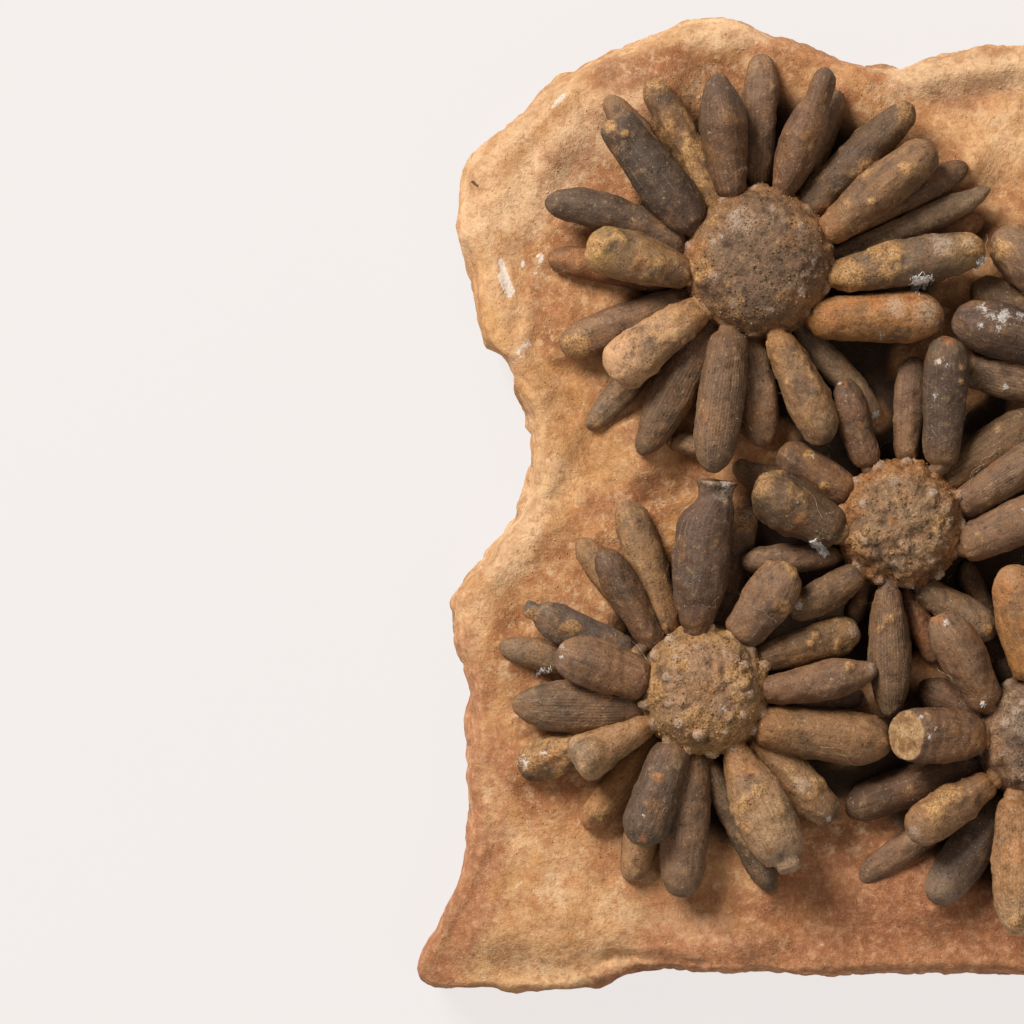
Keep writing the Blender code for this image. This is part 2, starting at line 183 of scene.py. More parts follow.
# %% Sheets
class Sheet:
    """A node tree that is filled from Python."""

    def __init__(self, tree):
        self.tree = tree

    def node(self, kind, settings=None, sockets=None, out=0):
        """Makes a node: settings first, then values or wires by socket name or number."""
        made = self.tree.nodes.new(kind)
        for name, value in (settings or {}).items():
            setattr(made, name, value)
        for key, value in (sockets or {}).items():
            if isinstance(key, str):
                known = [s.identifier for s in made.inputs]
                key = known.index(key) if key in known else made.inputs.find(key)
            if isinstance(value, Wire):
                self.tree.links.new(value.socket, made.inputs[key])
            else:
                made.inputs[key].default_value = value
        return Wire(self, made.outputs[out])

    def mix(self, part, under, over, blend="MIX"):
        """One colour over another. Part is 0 for the first and 1 for the second."""
        under, over = [c if isinstance(c, Wire) else (*colour(c), 1) for c in (under, over)]
        return self.node("ShaderNodeMix", {"data_type": "RGBA", "blend_type": blend},
                         {"Factor_Float": part, "A_Color": under, "B_Color": over}, out=2)

    def coats(self, base, *coats):
        """Lays coats over a base: each is how much of it there is, and its colour."""
        for part, over in coats:
            base = self.mix(part, base, over)
        return base

    def scaled(self, vector, much):
        """A vector made longer or shorter."""
        return self.node("ShaderNodeVectorMath", {"operation": "SCALE"},
                         {0: vector, "Scale": much})

    def noise(self, place, size, detail=3.0, roughness=0.55, seed=0.0):
        """Cloudy noise around 0.5 with blots of that size in millimetres."""
        return self.node("ShaderNodeTexNoise", {"noise_dimensions": "4D"},
                         {"Vector": place, "W": seed, "Scale": 1000 / size, "Detail": detail,
                          "Roughness": roughness})

    def attribute(self, name, colour=False):
        """A value stored on the mesh, for a shader."""
        return self.node("ShaderNodeAttribute", {"attribute_name": name}, out=0 if colour else 2)

    def stain(self, name, low, high, *frays):
        """A stored mark as a mask. Each fray is a noise, and how much it breaks up the mark."""
        mark = name if isinstance(name, Wire) else self.attribute(name)
        for fray, much in frays:
            mark = mark + (fray - 0.5) * much
        return mark.between(low, high)


print("a Sheet makes the nodes")

# %% [markdown]
# Colour codes are written as the eye sees them, and a shader wants linear numbers, so one
# function turns one into the other. Every material begins and ends in the same way, so that is
# two more.


# %% Colours and materials
def colour(code):
    """A colour code such as "#b08a52" as the three linear numbers a shader wants."""
    if isinstance(code, tuple):
        return code
    parts = [int(code[i:i + 2], 16) / 255 for i in (1, 3, 5)]
    return tuple(p / 12.92 if p <= 0.04045 else ((p + 0.055) / 1.055) ** 2.4 for p in parts)


def stone(name, roughness):
    """A new material of that roughness, its sheet, and the place on the object in metres."""
    material = bpy.data.materials.new(name)
    material.use_nodes = True
    sheet = Sheet(material.node_tree)
    shader = material.node_tree.nodes["Principled BSDF"]
    shader.inputs["Roughness"].default_value = roughness
    shader.inputs["Specular IOR Level"].default_value = 0.35
    return material, sheet, sheet.node("ShaderNodeTexCoord", out=3)


def paint(sheet, base, relief, height):
    """Gives a material its colour and a bump that is height metres tall where relief is 1."""
    shader = sheet.tree.nodes["Principled BSDF"]
    bump = sheet.node("ShaderNodeBump", {}, {"Height": relief, "Distance": height})
    sheet.tree.links.new(base.socket, shader.inputs["Base Color"])
    sheet.tree.links.new(bump.socket, shader.inputs["Normal"])


print("the buff of the stone in linear numbers:", [round(p, 3) for p in colour("#dfaf7d")])

# %% [markdown]
# ## Limestone
# The slab is sandy limestone: pale buff where it is clean, more ochre in the hollows, and
# brick red towards the lower edge, where iron has stained it. Close up it is a mass of grains
# with small dark pits. The stains are too large and too particular for noise, so each one is a
# soft mark that we list and store on the mesh, and the noise only frays it.

# %% Limestone
# Some coats below are painted shade: near black low in the gaps round the tests, and darker where
# the shoulder faces the window.
limestone, sheet, place = stone("limestone", 0.92)
# Size in mm, detail, roughness and seed of each noise, from the widest down.
blots, blush, patches, chalky, rusty, flecks, pitted, grains, sand = (
    sheet.noise(place, *row) for row in rows("""
    24 4 0.55 0, 11 4 0.6 21, 7 6 0.62 2, 4.6 5 0.7 28, 3.4 5 0.7 27, 2 4 0.65 13,
    1.5 2 0.6 11, 0.75 3 0.7 5, 0.35 1 0.55 7"""))
strokes = sheet.node("ShaderNodeTexNoise", {}, {"Vector": place, "Scale": 520.0, "Detail": 4.0,
                                                "Roughness": 0.62, "Distortion": 1.0})
flattened = sheet.node("ShaderNodeMapping", {}, {"Vector": place, "Scale": (1, 1, 5)})
beds = sheet.noise(flattened, 16, detail=5, roughness=0.65, seed=33)
pits = pitted.between(0.68, 0.76)
dug = sheet.stain("dug", 0.3, 0.7, (patches, 1.3), (flecks, 0.6))
red = sheet.stain("red", 0.3, 0.8, (patches, 1.1))
pale = sheet.stain("pale", 0.3, 0.9, (patches, 1.0))
brown = sheet.stain("brown", 0.3, 0.85, (patches, 1.2))
ochre = sheet.stain("ochre", 0.35, 0.9, (patches, 1.0))
# Painted shade, near black, low in the gaps round the tests.
soil = sheet.stain("soil", 0.1, 0.75, (patches, 0.35))
black = sheet.stain("black", 0.45, 0.7, (grains, 0.8))
white = sheet.stain("white", 0.42, 0.66, (flecks, 0.9), (grains, 0.6))
motley, side = sheet.attribute("motley"), sheet.attribute("side")
base = sheet.coats(
    sheet.mix(blots.between(0.38, 0.64), "#cc9866", "#dfaf7d"),
    (patches.between(0.50, 0.68) * 0.45, "#ecc9a0"),
    (blush.between(0.49, 0.66) * 0.5, "#c68755"),
    (patches.between(0.49, 0.34) * 0.65, "#b57d4b"),
    (dug * 0.9, sheet.mix(patches.between(0.36, 0.60), "#935c35", "#c18a59")),
    (red * 0.8, sheet.mix(flecks.between(0.34, 0.66), "#8f5437", "#bd8159")),
    (pale * 0.6, "#ecc59a"),
    (brown * 0.78, sheet.mix(flecks.between(0.36, 0.6), "#784529", "#a26a47")),
    (ochre * 0.6, "#c78f50"),
    (flecks.between(0.49, 0.34) * 0.45, "#a2683f"),
    (flecks.between(0.54, 0.70) * 0.24, "#ecca9e"),
    (rusty.between(0.51, 0.62) * motley * 0.5, "#a9673f"),
    (chalky.between(0.54, 0.66) * motley * (0.45 - 0.35 * red), "#ecca9f"),
    (beds.between(0.52, 0.40) * side * 0.45, "#9a623c"),
    (beds.between(0.54, 0.68) * side * 0.40, "#e6c397"))
# Painted shade: darker where the slab faces the window.
base = sheet.mix(sheet.attribute("window_side_shade") * 0.52, base, (0.50, 0.48, 0.45), "MULTIPLY")
base = sheet.coats(
    base,
    (grains.between(0.50, 0.34) * 0.28, "#99623e"),
    (sand.between(0.56, 0.72) * 0.24, "#efd5ae"),
    (strokes.between(0.53, 0.68) * (0.32 - 0.2 * red), "#eac592"),
    (strokes.between(0.48, 0.34) * 0.40, "#a0683e"),
    (pits * 0.16, "#74452a"),
    # painted shade in the gaps round the tests
    (soil, sheet.mix(grains, "#281b12", "#4a3321")),
    (black * 0.85, "#3a2a20"),
    (white * 0.7, "#ece2d6"))
paint(sheet, base, grains * 0.6 + sand * 0.2 + flecks * 0.5 + patches * 0.7 - pits * 0.2,
      0.0005)
print("limestone:", len(limestone.node_tree.nodes), "nodes")

# %% [markdown]
# ## The outline of the slab
# Slabs break along whatever is weakest, so the edge has no rule. It is given as points that go
# round clockwise: where the broken side stands out most, how far the crest of the rim lies
# inside that, and how high the crest is. A smooth curve through the points fills the gaps, and
# a sum of short waves crumbles it by a few tenths of a millimetre.

# %% Outline
# x, y, how far in the crest lies and its height, all in mm.
OUTLINE = rows("""
    -111 -108.6 7 17, -107.4 -99.8 9 21, -100.2 -84.2 7 24, -98.4 -73.6 6 25, -98.2 -52 5 25,
    -98.4 -39.6 4 26, -101.6 -24.2 4 26, -98.6 -17.6 6 26, -92.4 -9.6 6 26, -86.8 -1.6 5 26,
    -84.2 13.2 5 26, -87.2 25.6 5 27, -90 33.2 5 27, -94.6 37 5 27, -96.4 47.8 6 27,
    -100.4 61.4 6 26, -100.6 70.6 6 26, -97.4 79 6 26, -89.4 86 6 26, -81.6 93 5 26,
    -75.4 97.6 5 26, -64.4 102 5 27, -53.6 107.2 5 27, -43.4 109.8 5 27, -33.4 107.6 5 26,
    -20.6 103.2 5 25, -10.6 99.8 5 25, 0.6 99.8 5 25, 12 103 5 26, 28 103.6 5 27, 46 105.4 6 27,
    62 102 6 27, 79 96 6 26, 93 84 6 26, 101 66 6 26, 104 46 5 26, 101 27 5 27, 106 6 5 26,
    111 -16 5 26, 109 -40 5 26, 104 -60 6 26, 106 -82 7 25, 97 -98 7 24, 76 -104.6 6 24,
    52 -107.8 5 25, 28 -106.2 4 25, 4 -105.6 4 25, -26 -105.8 3 25, -48 -105.2 3 25,
    -56 -105 3 24, -62 -105.8 4.5 23.5, -68.5 -108.6 6.5 22, -80 -109.4 3 21, -96 -109.2 4 19""")
print(len(OUTLINE), "points given by hand")


# %% Rim
def curve_through(points, steps, closed=False):
    """A smooth curve (Catmull-Rom) through the rows of an array, with steps rows per stretch."""
    points = np.asarray(points, float)
    if closed:
        points = np.vstack([points[-1], points, points[:2]])
    else:
        points = np.vstack([2 * points[0] - points[1], points, 2 * points[-1] - points[-2]])
    a, b, c, d = points[:-3, None], points[1:-2, None], points[2:-1, None], points[3:, None]
    t = np.linspace(0, 1, steps, endpoint=False)[None, :, None]
    curve = 0.5 * (2 * b + (c - a) * t + (2 * a - 5 * b + 4 * c - d) * t ** 2
                   + (3 * b - a - 3 * c + d) * t ** 3)
    curve = curve.reshape(-1, points.shape[1])
    return curve if closed else np.vstack([curve, points[-2]])


def step(value, low, high):
    """0 below low, 1 above high, smooth between; low may be the larger."""
    t = np.clip((value - low) / (high - low), 0, 1)
    return t * t * (3 - 2 * t)


RIM_STEPS, RIM_WAVES = 14, 14
rim = curve_through(OUTLINE, RIM_STEPS, closed=True)
crumble = np.random.default_rng(5)
walked = np.concatenate([[0], np.cumsum(np.hypot(*np.diff(rim[:, :2], axis=0).T))])
jag = sum(0.007 * wave ** 0.9 * np.sin(2 * math.pi * (walked / wave + crumble.random()))
          for wave in crumble.uniform(2.6, 15.0, RIM_WAVES))
rim[:, :2] *= (1 + jag / np.hypot(rim[:, 0], rim[:, 1]))[:, None]
rim_angle = np.arctan2(rim[:, 1], rim[:, 0])
rim = rim[np.argsort(rim_angle)]
rim_angle = np.sort(rim_angle)
rim_reach = np.hypot(rim[:, 0], rim[:, 1])


def at_angle(angle, values):
    """A value of the rim at any angle round the middle of the slab."""
    return np.interp(angle, rim_angle, values, period=2 * math.pi)


print(len(rim), "points round the slab")

# %% [markdown]
# ## Where the spines lie
# Every spine on the real plate fell where it liked, so this is a plain table. A row gives the
# tip, the point where the spine comes out beside the test, the greatest width, the height of
# each end, the outline it follows and its finish. Some rows also give a bow (how far the
# middle swings out sideways), a slant (how far a broken end leans towards the eye) and a hook
# (how far the end turns off to the side).

# %% Spine table
Spine = namedtuple("Spine", "tip_x tip_y base_x base_y width tip_z base_z form finish bow slant "
                   "hook", defaults=(0.0, 0.25, 0.0))
Urchin = namedtuple("Urchin", "name x y radius spines")
TEST_MIDDLE_Z, TEST_FLATNESS, BED_Z = 31.0, 0.84, 20.0

URCHINS = [Urchin(*urchin, [Spine(*row) for row in rows(text)]) for *urchin, text in (
    ("urchin_upper_left", -33.5, 53.6, 17, """
    -80.8 67.2 -52 57.8 8.4 33 33 club slate -1.6, -71.3 57 -51 51.3 11.6 38 36 knob ochreous,
    -80 55.5 -55 50 6.5 26 27 under russet, -65.8 84.8 -49 63 11.4 36 36 heavy soot 0 0.2,
    -66.9 90.8 -48.5 68 7 28 28 under bark, -57.5 94 -43.5 67.5 7.5 30 33 club crusted -0.8,
    -42.8 95.2 -39.8 70 10.5 36 36 point umber, -32.3 100.5 -33.4 73 7.5 27 28 under bark,
    -18.2 96.2 -27.6 71 10 36 36 necked umber, -15.3 92.2 -23.5 69 6.5 26 28 under umber,
    0.8 88.5 -21.5 66.5 9.2 32 32 blob mottled, 5 79 -17.3 60.8 10.8 37 36 club tawny,
    13.2 75.5 -14 61.5 7 29 30 under umber, 18.2 70.2 -15.5 55.5 6 31 31 point ash -1,
    17.5 63.5 -13 54 7 25 27 under russet, 16 56.5 -15.3 50.5 10.2 37 36 club marbled,
    7.5 41.5 -20 41 11.2 35 35 club amber, -6.6 19.2 -22.5 37.5 6.5 27 28 under ash,
    -18.6 13.6 -28.6 35.2 9.5 38 37 club gilded, -32.4 12.8 -34.6 34.5 8 30 31 under bark,
    -44 7 -40.3 36 10 37 36 blob ribbed, -59.5 11 -44.3 38.5 9.4 30 31 point ribbed,
    -66.5 28.5 -48.2 42 11 37 36 knob buff, -71 17 -50.5 41 6 25 27 under ash,
    -77.5 35 -51 45 9 28 30 club bark"""),
    ("urchin_centre", -2, -4.2, 14.2, """
    -29 12.2 -15.3 3.6 9 34 34 blob umber, -34.6 4.4 -17.8 -5 11 37 36 blob mottled,
    -38.6 9.2 -17.5 -1 8 25 27 under bark, -37.2 -13 -17.4 -11.6 6.6 31 29 club bark,
    -26.6 -24 -13 -16 7.8 33 34 club olive, -12.6 -26.8 -9.4 -18.2 5 26 27 under umber,
    -4 -47.2 -4.8 -20.6 9.8 33 34 point ribbed, 6.2 -35.4 0.6 -20.6 6 29 28 under russet,
    19.2 -29 4 -19.2 8 31 32 club ash, 32.6 -0.4 13.2 -8.6 10.6 37 35 club bark,
    31.4 12.6 12.6 0.4 9 36 34 club ribbed, 29.6 19.6 9 6.4 10 30 31 under olive,
    7.8 37.2 6.6 11 9.2 39 36 club slate, 1.6 33 -0.3 12 6.6 28 28 under bark,
    -14.8 27.4 -9.9 10.6 8 35 34 club umber"""),
    ("urchin_lower_left", -45.4, -41, 14.6, """
    -44.4 5.4 -47.2 -25.4 12 36 36 flared plum 0.2 0.1 1.7, -63 1 -53.6 -27 8.6 26 28 under sand,
    -68.2 -10 -57.1 -29.8 7.7 32 31 under umber, -73 -7.6 -58 -28.6 6.4 25 27 under sand,
    -85.1 -22.6 -60.4 -33.4 8 32 32 collared cracked, -91 -31.4 -61 -38.4 7 26 28 under ash,
    -78.2 -32.6 -60.3 -38.6 10.8 37 36 blob rose, -88 -44.4 -60.6 -44.9 11 31 31 point ribbed,
    -74.4 -57 -58.6 -49 10 37 35 cone cream, -86.6 -59 -59.7 -48.4 9.6 28 29 under crusted,
    -71.6 -72 -56.4 -52.4 8.6 26 28 under amber, -60 -75 -53 -55 10 37 35 blob slate,
    -61.6 -84 -53.6 -57 8 26 28 under sand, -50.4 -86.9 -48.2 -57 10.2 31 31 club bark,
    -30 -85.8 -43.6 -59 7 28 29 under moss, -26.4 -80.6 -38 -56.2 12 37 35 nipple pearl,
    -16.6 -70.2 -33 -53 9 31 31 club gilded, -3.8 -52.6 -31.9 -49.2 12.2 32 34 blob tawny,
    -7.6 -36.2 -30.6 -40.8 8.4 38 36 point rose, -11 -27.6 -31.4 -33.4 8.8 31 33 club olive,
    -26.8 -13.4 -36.8 -27.6 10.6 39 36 blob bark, -35.8 0.2 -41.4 -26.6 7.2 24 27 under bark,
    -9.4 -42.6 -31 -45.2 6 25 28 under umber"""),
    ("urchin_lower_right", 28.9, -51.4, 14.5, """
    -1.6 -50.6 13.6 -50.8 11.6 41 38 sawn umber 0 0.52, -13.8 -68 14.6 -58 9.4 26 28 under umber,
    -1 -72.6 15.8 -62 9.6 38 36 knob tawny, -11.4 -84.4 15 -66 7.8 22.6 25 under rose,
    5.4 -88.2 20.6 -66.4 9.6 29 30 under dusky, 23.6 -94.4 23.2 -66.8 11.6 36 36 club cream,
    5.6 -24.2 16 -42.6 10.2 40 37 blob bark, 12.7 -12.6 23 -37.8 5.8 24 25 under umber,
    21.6 -13.2 26.6 -36.2 11.6 38 37 blob amber, 3 -40.4 14.6 -46 8 25 28 under umber,
    34 -17 31.6 -36 8 28 29 under bark, 44 -20 36.6 -38 9.6 36 35 club olive,
    57 -33.6 42 -43.6 9 30 32 club bark, 60.4 -48 44.2 -50.4 10.6 36 35 blob mottled,
    63 -62 43.4 -56.8 8.4 29 30 under ribbed, 58 -75.6 40.8 -61.8 10.4 36 35 club rose,
    47 -86 36.8 -65 8.6 29 30 under umber, 35.6 -92.6 30.6 -66.8 9.4 33 34 point buff"""),
    ("urchin_upper_right", 50, 31, 15, """
    9.2 41.2 34.6 34.2 11.4 34 34 blob plum, 13 30 34.4 25.6 8.6 30 31 cut ribbed,
    19 60.4 38.6 42.6 11.4 32 33 blob bark, 14.2 48.6 35.6 37.6 9.6 28 30 under mottled,
    35.6 70 43.4 46 9 29 30 under umber, 48 74 49.4 47 10.6 36 35 club ribbed,
    63 70.6 56.6 45.6 8.4 29 30 under ash, 77 58.6 62.4 41.6 10 36 35 blob honey,
    85 44 65.4 36 8.8 30 31 club bark, 88.4 27.6 66 29.4 11 36 35 point umber,
    82 11.6 63.6 22.6 8.4 29 30 under russet, 68 3 57.6 17.4 9.6 36 35 club olive,
    50.6 -0.6 50.4 15.4 8 29 30 under slate, 38.6 5.6 42.4 17.6 8.8 36 34 blob mottled"""),
    ("urchin_right", 76, -24, 14, """
    47 -9 62.6 -17.4 8.6 29 30 under bark, 51 -22.6 61 -23.4 9 36 35 blob fawn,
    66 -4.6 71 -9.6 7.4 36 34 blob umber, 83 3.6 79 -9 9.4 36 35 club ribbed,
    97 -2 86.4 -13.2 8.2 29 30 under ash, 104 -15 90.4 -19.6 9.8 36 35 blob mottled,
    104.6 -31 91 -27.2 8.4 29 31 club slate, 99 -46 87.6 -34 9.6 36 35 club rose,
    86 -56.4 81.4 -38.4 8.4 29 30 under umber, 73 -55 74.6 -39.4 10 36 35 blob gilded"""),
)]
print(sum(len(u.spines) for u in URCHINS), "spines on", len(URCHINS), "urchins")

# %% [markdown]
# ## The skin of the slab
# A dish with an uneven edge could be sculpted, or cut from a block. Here it is one sheet of
# even little squares: a square grid is bent into a disc, and the disc is stretched until its
# edge meets the rim. In the middle it follows a calmer outline, so that notches in the rim
# don't crowd it. Heights are then set in layers: the dished bed, the rim, the rock that was
# left standing round half-buried spines. The side is more rings below the rim, down to the
# flat back. All of it is one closed mesh.

# %% Face of the slab
GRID = 236
across = np.linspace(-1, 1, GRID + 1)
a, b = [v.ravel() for v in np.meshgrid(across, across, indexing="ij")]
size = np.maximum(np.abs(a), np.abs(b))
lying = np.abs(a) >= np.abs(b)
with np.errstate(divide="ignore", invalid="ignore"):
    turn = np.where(lying, math.pi / 4 * b / a, math.pi / 2 - math.pi / 4 * a / b)
turn = np.nan_to_num(turn)
reach = np.where(lying, a, b)
disc = np.column_stack([reach * np.cos(turn), reach * np.sin(turn)])
angle = np.arctan2(disc[:, 1], disc[:, 0])
crest_reach = at_angle(angle, rim_reach - rim[:, 2])
WAYS, CALM_WAYS = 720, 16
ways = np.linspace(-math.pi, math.pi, WAYS, endpoint=False)
around = at_angle(ways, rim_reach - rim[:, 2])
calm = np.mean([np.roll(around, shift) for shift in range(-CALM_WAYS, CALM_WAYS + 1)], axis=0)
calm_reach = np.interp(angle, ways, calm, period=2 * math.pi)
reach = size * (calm_reach + (crest_reach - calm_reach) * step(size, 0.6, 1.0))
face = np.column_stack([reach * np.cos(angle), reach * np.sin(angle)])
from_crest = crest_reach - reach
print(len(face), "points on the face of the slab, about",
      round(float(crest_reach.mean()) * 2 / GRID, 2), "mm apart")

# %% [markdown]
# The face is a shelf that dips to the bed round each test, less far out on the left. The tips
# of the low spines are half sunk in rock, so the face is banked up under them and falls away
# beside them. A few listed marks add what chance added on the real slab: ridges, a tool mark
# and hollows. The shoulder is worn round where the rim is narrow, and stays a sheer broken face
# where it is wide. Limestone breaks along its beds, so the side steps in and out in layers.
# One corner is worn smooth.


# %% Heights of the face
def far_from(points, x, y):
    """How far points lie from a place in plan."""
    return np.hypot(points[:, 0] - x, points[:, 1] - y)


def off_tests(points):
    """How far points lie outside the nearest test in plan; less than 0 is under it."""
    return np.min([far_from(points, u.x, u.y) - u.radius for u in URCHINS], axis=0)


def to_segment(points, start, end):
    """How far points lie from a straight line in plan, and how far along it (0 to 1)."""
    start, line = np.asarray(start, float), np.subtract(end, start)
    along = np.clip((points - start) @ line / (line @ line), 0, 1)
    return np.linalg.norm(points - start - along[:, None] * line, axis=1), along


RIM_WIDTH, SHELF_Z, BANK_BLEND, LOW_TIP_Z = 14.0, 24.6, 2.4, 31
height = SHELF_Z + (at_angle(angle, rim[:, 3]) - SHELF_Z) * step(from_crest, RIM_WIDTH, 0)
dug_out = 13 + 12 * step(face[:, 0], -66, -44)
height += (BED_Z - height) * step(off_tests(face), dug_out, 0.25 * dug_out)
for urchin in URCHINS:
    for spine in (s for s in urchin.spines if s.tip_z < LOW_TIP_Z):
        gap, along = to_segment(face, (spine.base_x, spine.base_y), (spine.tip_x, spine.tip_y))
        middle = spine.base_z + (spine.tip_z - spine.base_z) * along
        half = spine.width / 2
        bank = middle - half * (0.25 + 2.2 * step(along, 0.95, 0.35))
        bank -= np.maximum(gap - half * 0.5, 0) * 0.55
        blend = np.clip(0.5 + (bank - height) / BANK_BLEND, 0, 1)
        height += (bank - height) * blend + BANK_BLEND / 2 * blend * (1 - blend)

# A ridge or groove: two ends in mm, its half width and its height.
RIDGES = """
    -82.3 53.6 -84.5 39 3.4 0.3, -84.5 39 -85.9 33.3 3 0.4, -90.3 54 -88.7 46.7 1.3 -0.3,
    -79 77 -75 83 5 0.7, -86 62 -79 76 5 0.6, 4.3 94.9 25 98.2 6 1.4, 2 90 22 92.5 6 -1.2,
    -92.5 -12 -86 6 5 0.5, -95 -20 -88 -34 6 0.8, -62 -99 -30 -97 6 0.9, -88 -62 -82 -78 4 0.5,
    -96 -78 -103 -98 4.5 0.35, -93 -58 -84 -52 2.6 -0.6, -20 -95 12 -98 6 -0.8,
    -68 -6 -60 6 5 0.7, -76 2 -70 14 5 -0.6, -66 -101 -46 -103 2.6 -1.6, -92 -90 -78 -96 6 -0.7"""
for x1, y1, x2, y2, half, high in rows(RIDGES):
    height += high * step(to_segment(face, (x1, y1), (x2, y2))[0], half, 0)
print("face from", round(float(height.min()), 1), "to", round(float(height.max()), 1), "mm")

# %% Broken side
SHOULDER_ROWS, SKIRT_ROWS, BELLY_Z, BACK_INSET = 17, 9, 9.0, 3.0
# Where the beds of the rock part, and the way round the slab at a radius of 105 mm.
BEDS, WAY_ROUND, DENTS = (4.5, 8.5, 12.5, 17.0), 660, 16
WORN_CORNER, WORN_REACH, WORN_TIMES = (-106.0, -97.0), 24.0, 14
index = np.arange((GRID + 1) ** 2).reshape(GRID + 1, GRID + 1)
edge = np.concatenate([index[:-1, 0], index[-1, :-1], index[:0:-1, -1], index[0, :0:-1]])
edge_angle = np.arctan2(face[edge, 1], face[edge, 0])
outer, inset = at_angle(edge_angle, rim_reach), at_angle(edge_angle, rim[:, 2])
broken = np.random.default_rng(9)
dents = [(round(WAY_ROUND / wave), 0.08 * wave ** 0.5, *broken.random(2))
         for wave in broken.uniform(7, 60, DENTS)]
bed_insets = [sum(np.sin(round(WAY_ROUND / wave) * edge_angle + 6 * broken.random())
                  for wave in (70.0, 38.0, 17.0)) for _ in range(len(BEDS) + 1)]


def ironed(points, faces, middle, reach, times):
    """Smooths the points within reach of a place, by drawing each to the mean of its neighbours."""
    links = np.vstack([faces[:, [i, (i + 1) % 4]] for i in range(4)])
    links = np.vstack([links, links[:, ::-1]])
    count = np.maximum(np.bincount(links[:, 0], minlength=len(points)), 1)
    gap = far_from(points, *middle)
    share = 0.6 * step(gap, reach, 0.5 * reach) * step(points[:, 2], 0, 2)
    for _ in range(times):
        mean = np.stack([np.bincount(links[:, 0], points[links[:, 1], axis], len(points)) / count
                         for axis in range(3)], -1)
        points = points + share[:, None] * (mean - points)
    return points


def let_in(level):
    """How far the broken side lies inside the outline at each height, in mm."""
    dent = sum(high * np.sin(count * edge_angle + 2 * math.pi * (start + level * tilt / 4))
               for count, high, start, tilt in dents)
    wavy = level + 1.2 * np.sin(7 * edge_angle) + 0.6 * np.sin(19 * edge_angle)
    bed = np.searchsorted(BEDS, wavy)
    ledge = np.choose(bed, bed_insets)
    return (np.maximum(dent, 0) + np.maximum(ledge, 0) * 0.8) * step(level, 23, 15)


print(len(edge), "points round the edge of the face,", len(dents), "dents and", len(BEDS), "beds")

# %% [markdown]
# Blender can build a mesh face by face, but whole arrays of points and faces are far quicker.
# Numbers and colours stored on the points let materials and node trees read them later.


# %% Mesh helpers
def mesh_of(name, points, *face_sets):
    """A smooth-shaded mesh from points in millimetres and arrays of faces of equal length."""
    mesh = bpy.data.meshes.new(name)
    corners = np.concatenate([faces.ravel() for faces in face_sets]).astype(np.int32)
    lengths = np.concatenate([np.full(len(f), f.shape[1]) for f in face_sets]).astype(np.int32)
    mesh.vertices.add(len(points))
    mesh.vertices.foreach_set("co", (np.asarray(points) * MM).astype(np.float32).ravel())
    mesh.loops.add(len(corners))
    mesh.loops.foreach_set("vertex_index", corners)
    mesh.polygons.add(len(lengths))
    starts = np.concatenate([[0], np.cumsum(lengths)[:-1]]).astype(np.int32)
    mesh.polygons.foreach_set("loop_start", starts)
    mesh.update(calc_edges=True)
    mesh.shade_smooth()
    return mesh


def store(mesh, name, values):
    """Stores one number, or one colour, for each point of a mesh."""
    values = np.asarray(values, np.float32)
    if values.ndim == 1:
        mesh.attributes.new(name, "FLOAT", "POINT").data.foreach_set("value", values)
    else:
        colours = np.column_stack([values, np.ones(len(values), np.float32)])
        mesh.attributes.new(name, "FLOAT_COLOR", "POINT").data.foreach_set(
            "color", colours.ravel())


def bands(rings):
    """Four-sided faces between rings of points, which are given as rows of their numbers."""
    after = np.roll(rings, -1, axis=1)
    return np.stack([rings[:-1], rings[1:], after[1:], after[:-1]], -1).reshape(-1, 4)


print("meshes can be made from arrays")

# %% [markdown]
# The rings go down over the shoulder first, then down the side to the back. Each ring is an
# outline that lies a little further out or in, and the last one is closed by a single face.

# %% Side, back and the closed mesh
reaches, levels = [], []
sheer = step(inset, 7.5, 12.0)
firm = 0.3 + 0.7 * step(height[edge], 20, 24)
for i in range(1, SHOULDER_ROWS + 1):
    part = i / SHOULDER_ROWS
    swing = math.pi / 2 * part
    out = (1 - sheer) * math.sin(swing) ** 0.9 + sheer * part ** 0.85
    fall = (1 - sheer) * (1 - math.cos(swing) ** 0.75) + sheer * part ** 1.4
    levels.append(height[edge] - (height[edge] - BELLY_Z) * fall)
    reaches.append(outer - inset + inset * out
                   - let_in(levels[-1]) * step(part, 0.35, 0.6) * firm)
for i in range(1, SKIRT_ROWS + 1):
    drop = i / SKIRT_ROWS
    levels.append(np.full(len(edge), BELLY_Z * (1 - drop)))
    reaches.append(outer - BACK_INSET * drop ** 1.6 - let_in(levels[-1]))
ring = len(edge)
side = np.concatenate([np.column_stack([r * np.cos(edge_angle), r * np.sin(edge_angle), z])
                       for r, z in zip(reaches, levels)])
points = np.vstack([np.column_stack([face, height]), side])
squares = np.stack([index[:-1, :-1], index[1:, :-1], index[1:, 1:], index[:-1, 1:]], -1)
rings = np.vstack([edge, len(face) + np.arange(len(side)).reshape(-1, ring)])
walls = bands(rings)
points = ironed(points, np.vstack([squares.reshape(-1, 4), walls]),
                WORN_CORNER, WORN_REACH, WORN_TIMES)
slab_mesh = mesh_of("slab", points, squares.reshape(-1, 4), walls, rings[-1][::-1][None, :])
down = np.concatenate([np.zeros(len(face)), np.repeat(
    np.arange(1, len(reaches) + 1) / SHOULDER_ROWS, ring)])
plan = points[:, :2]
print(len(slab_mesh.polygons), "faces on the slab")
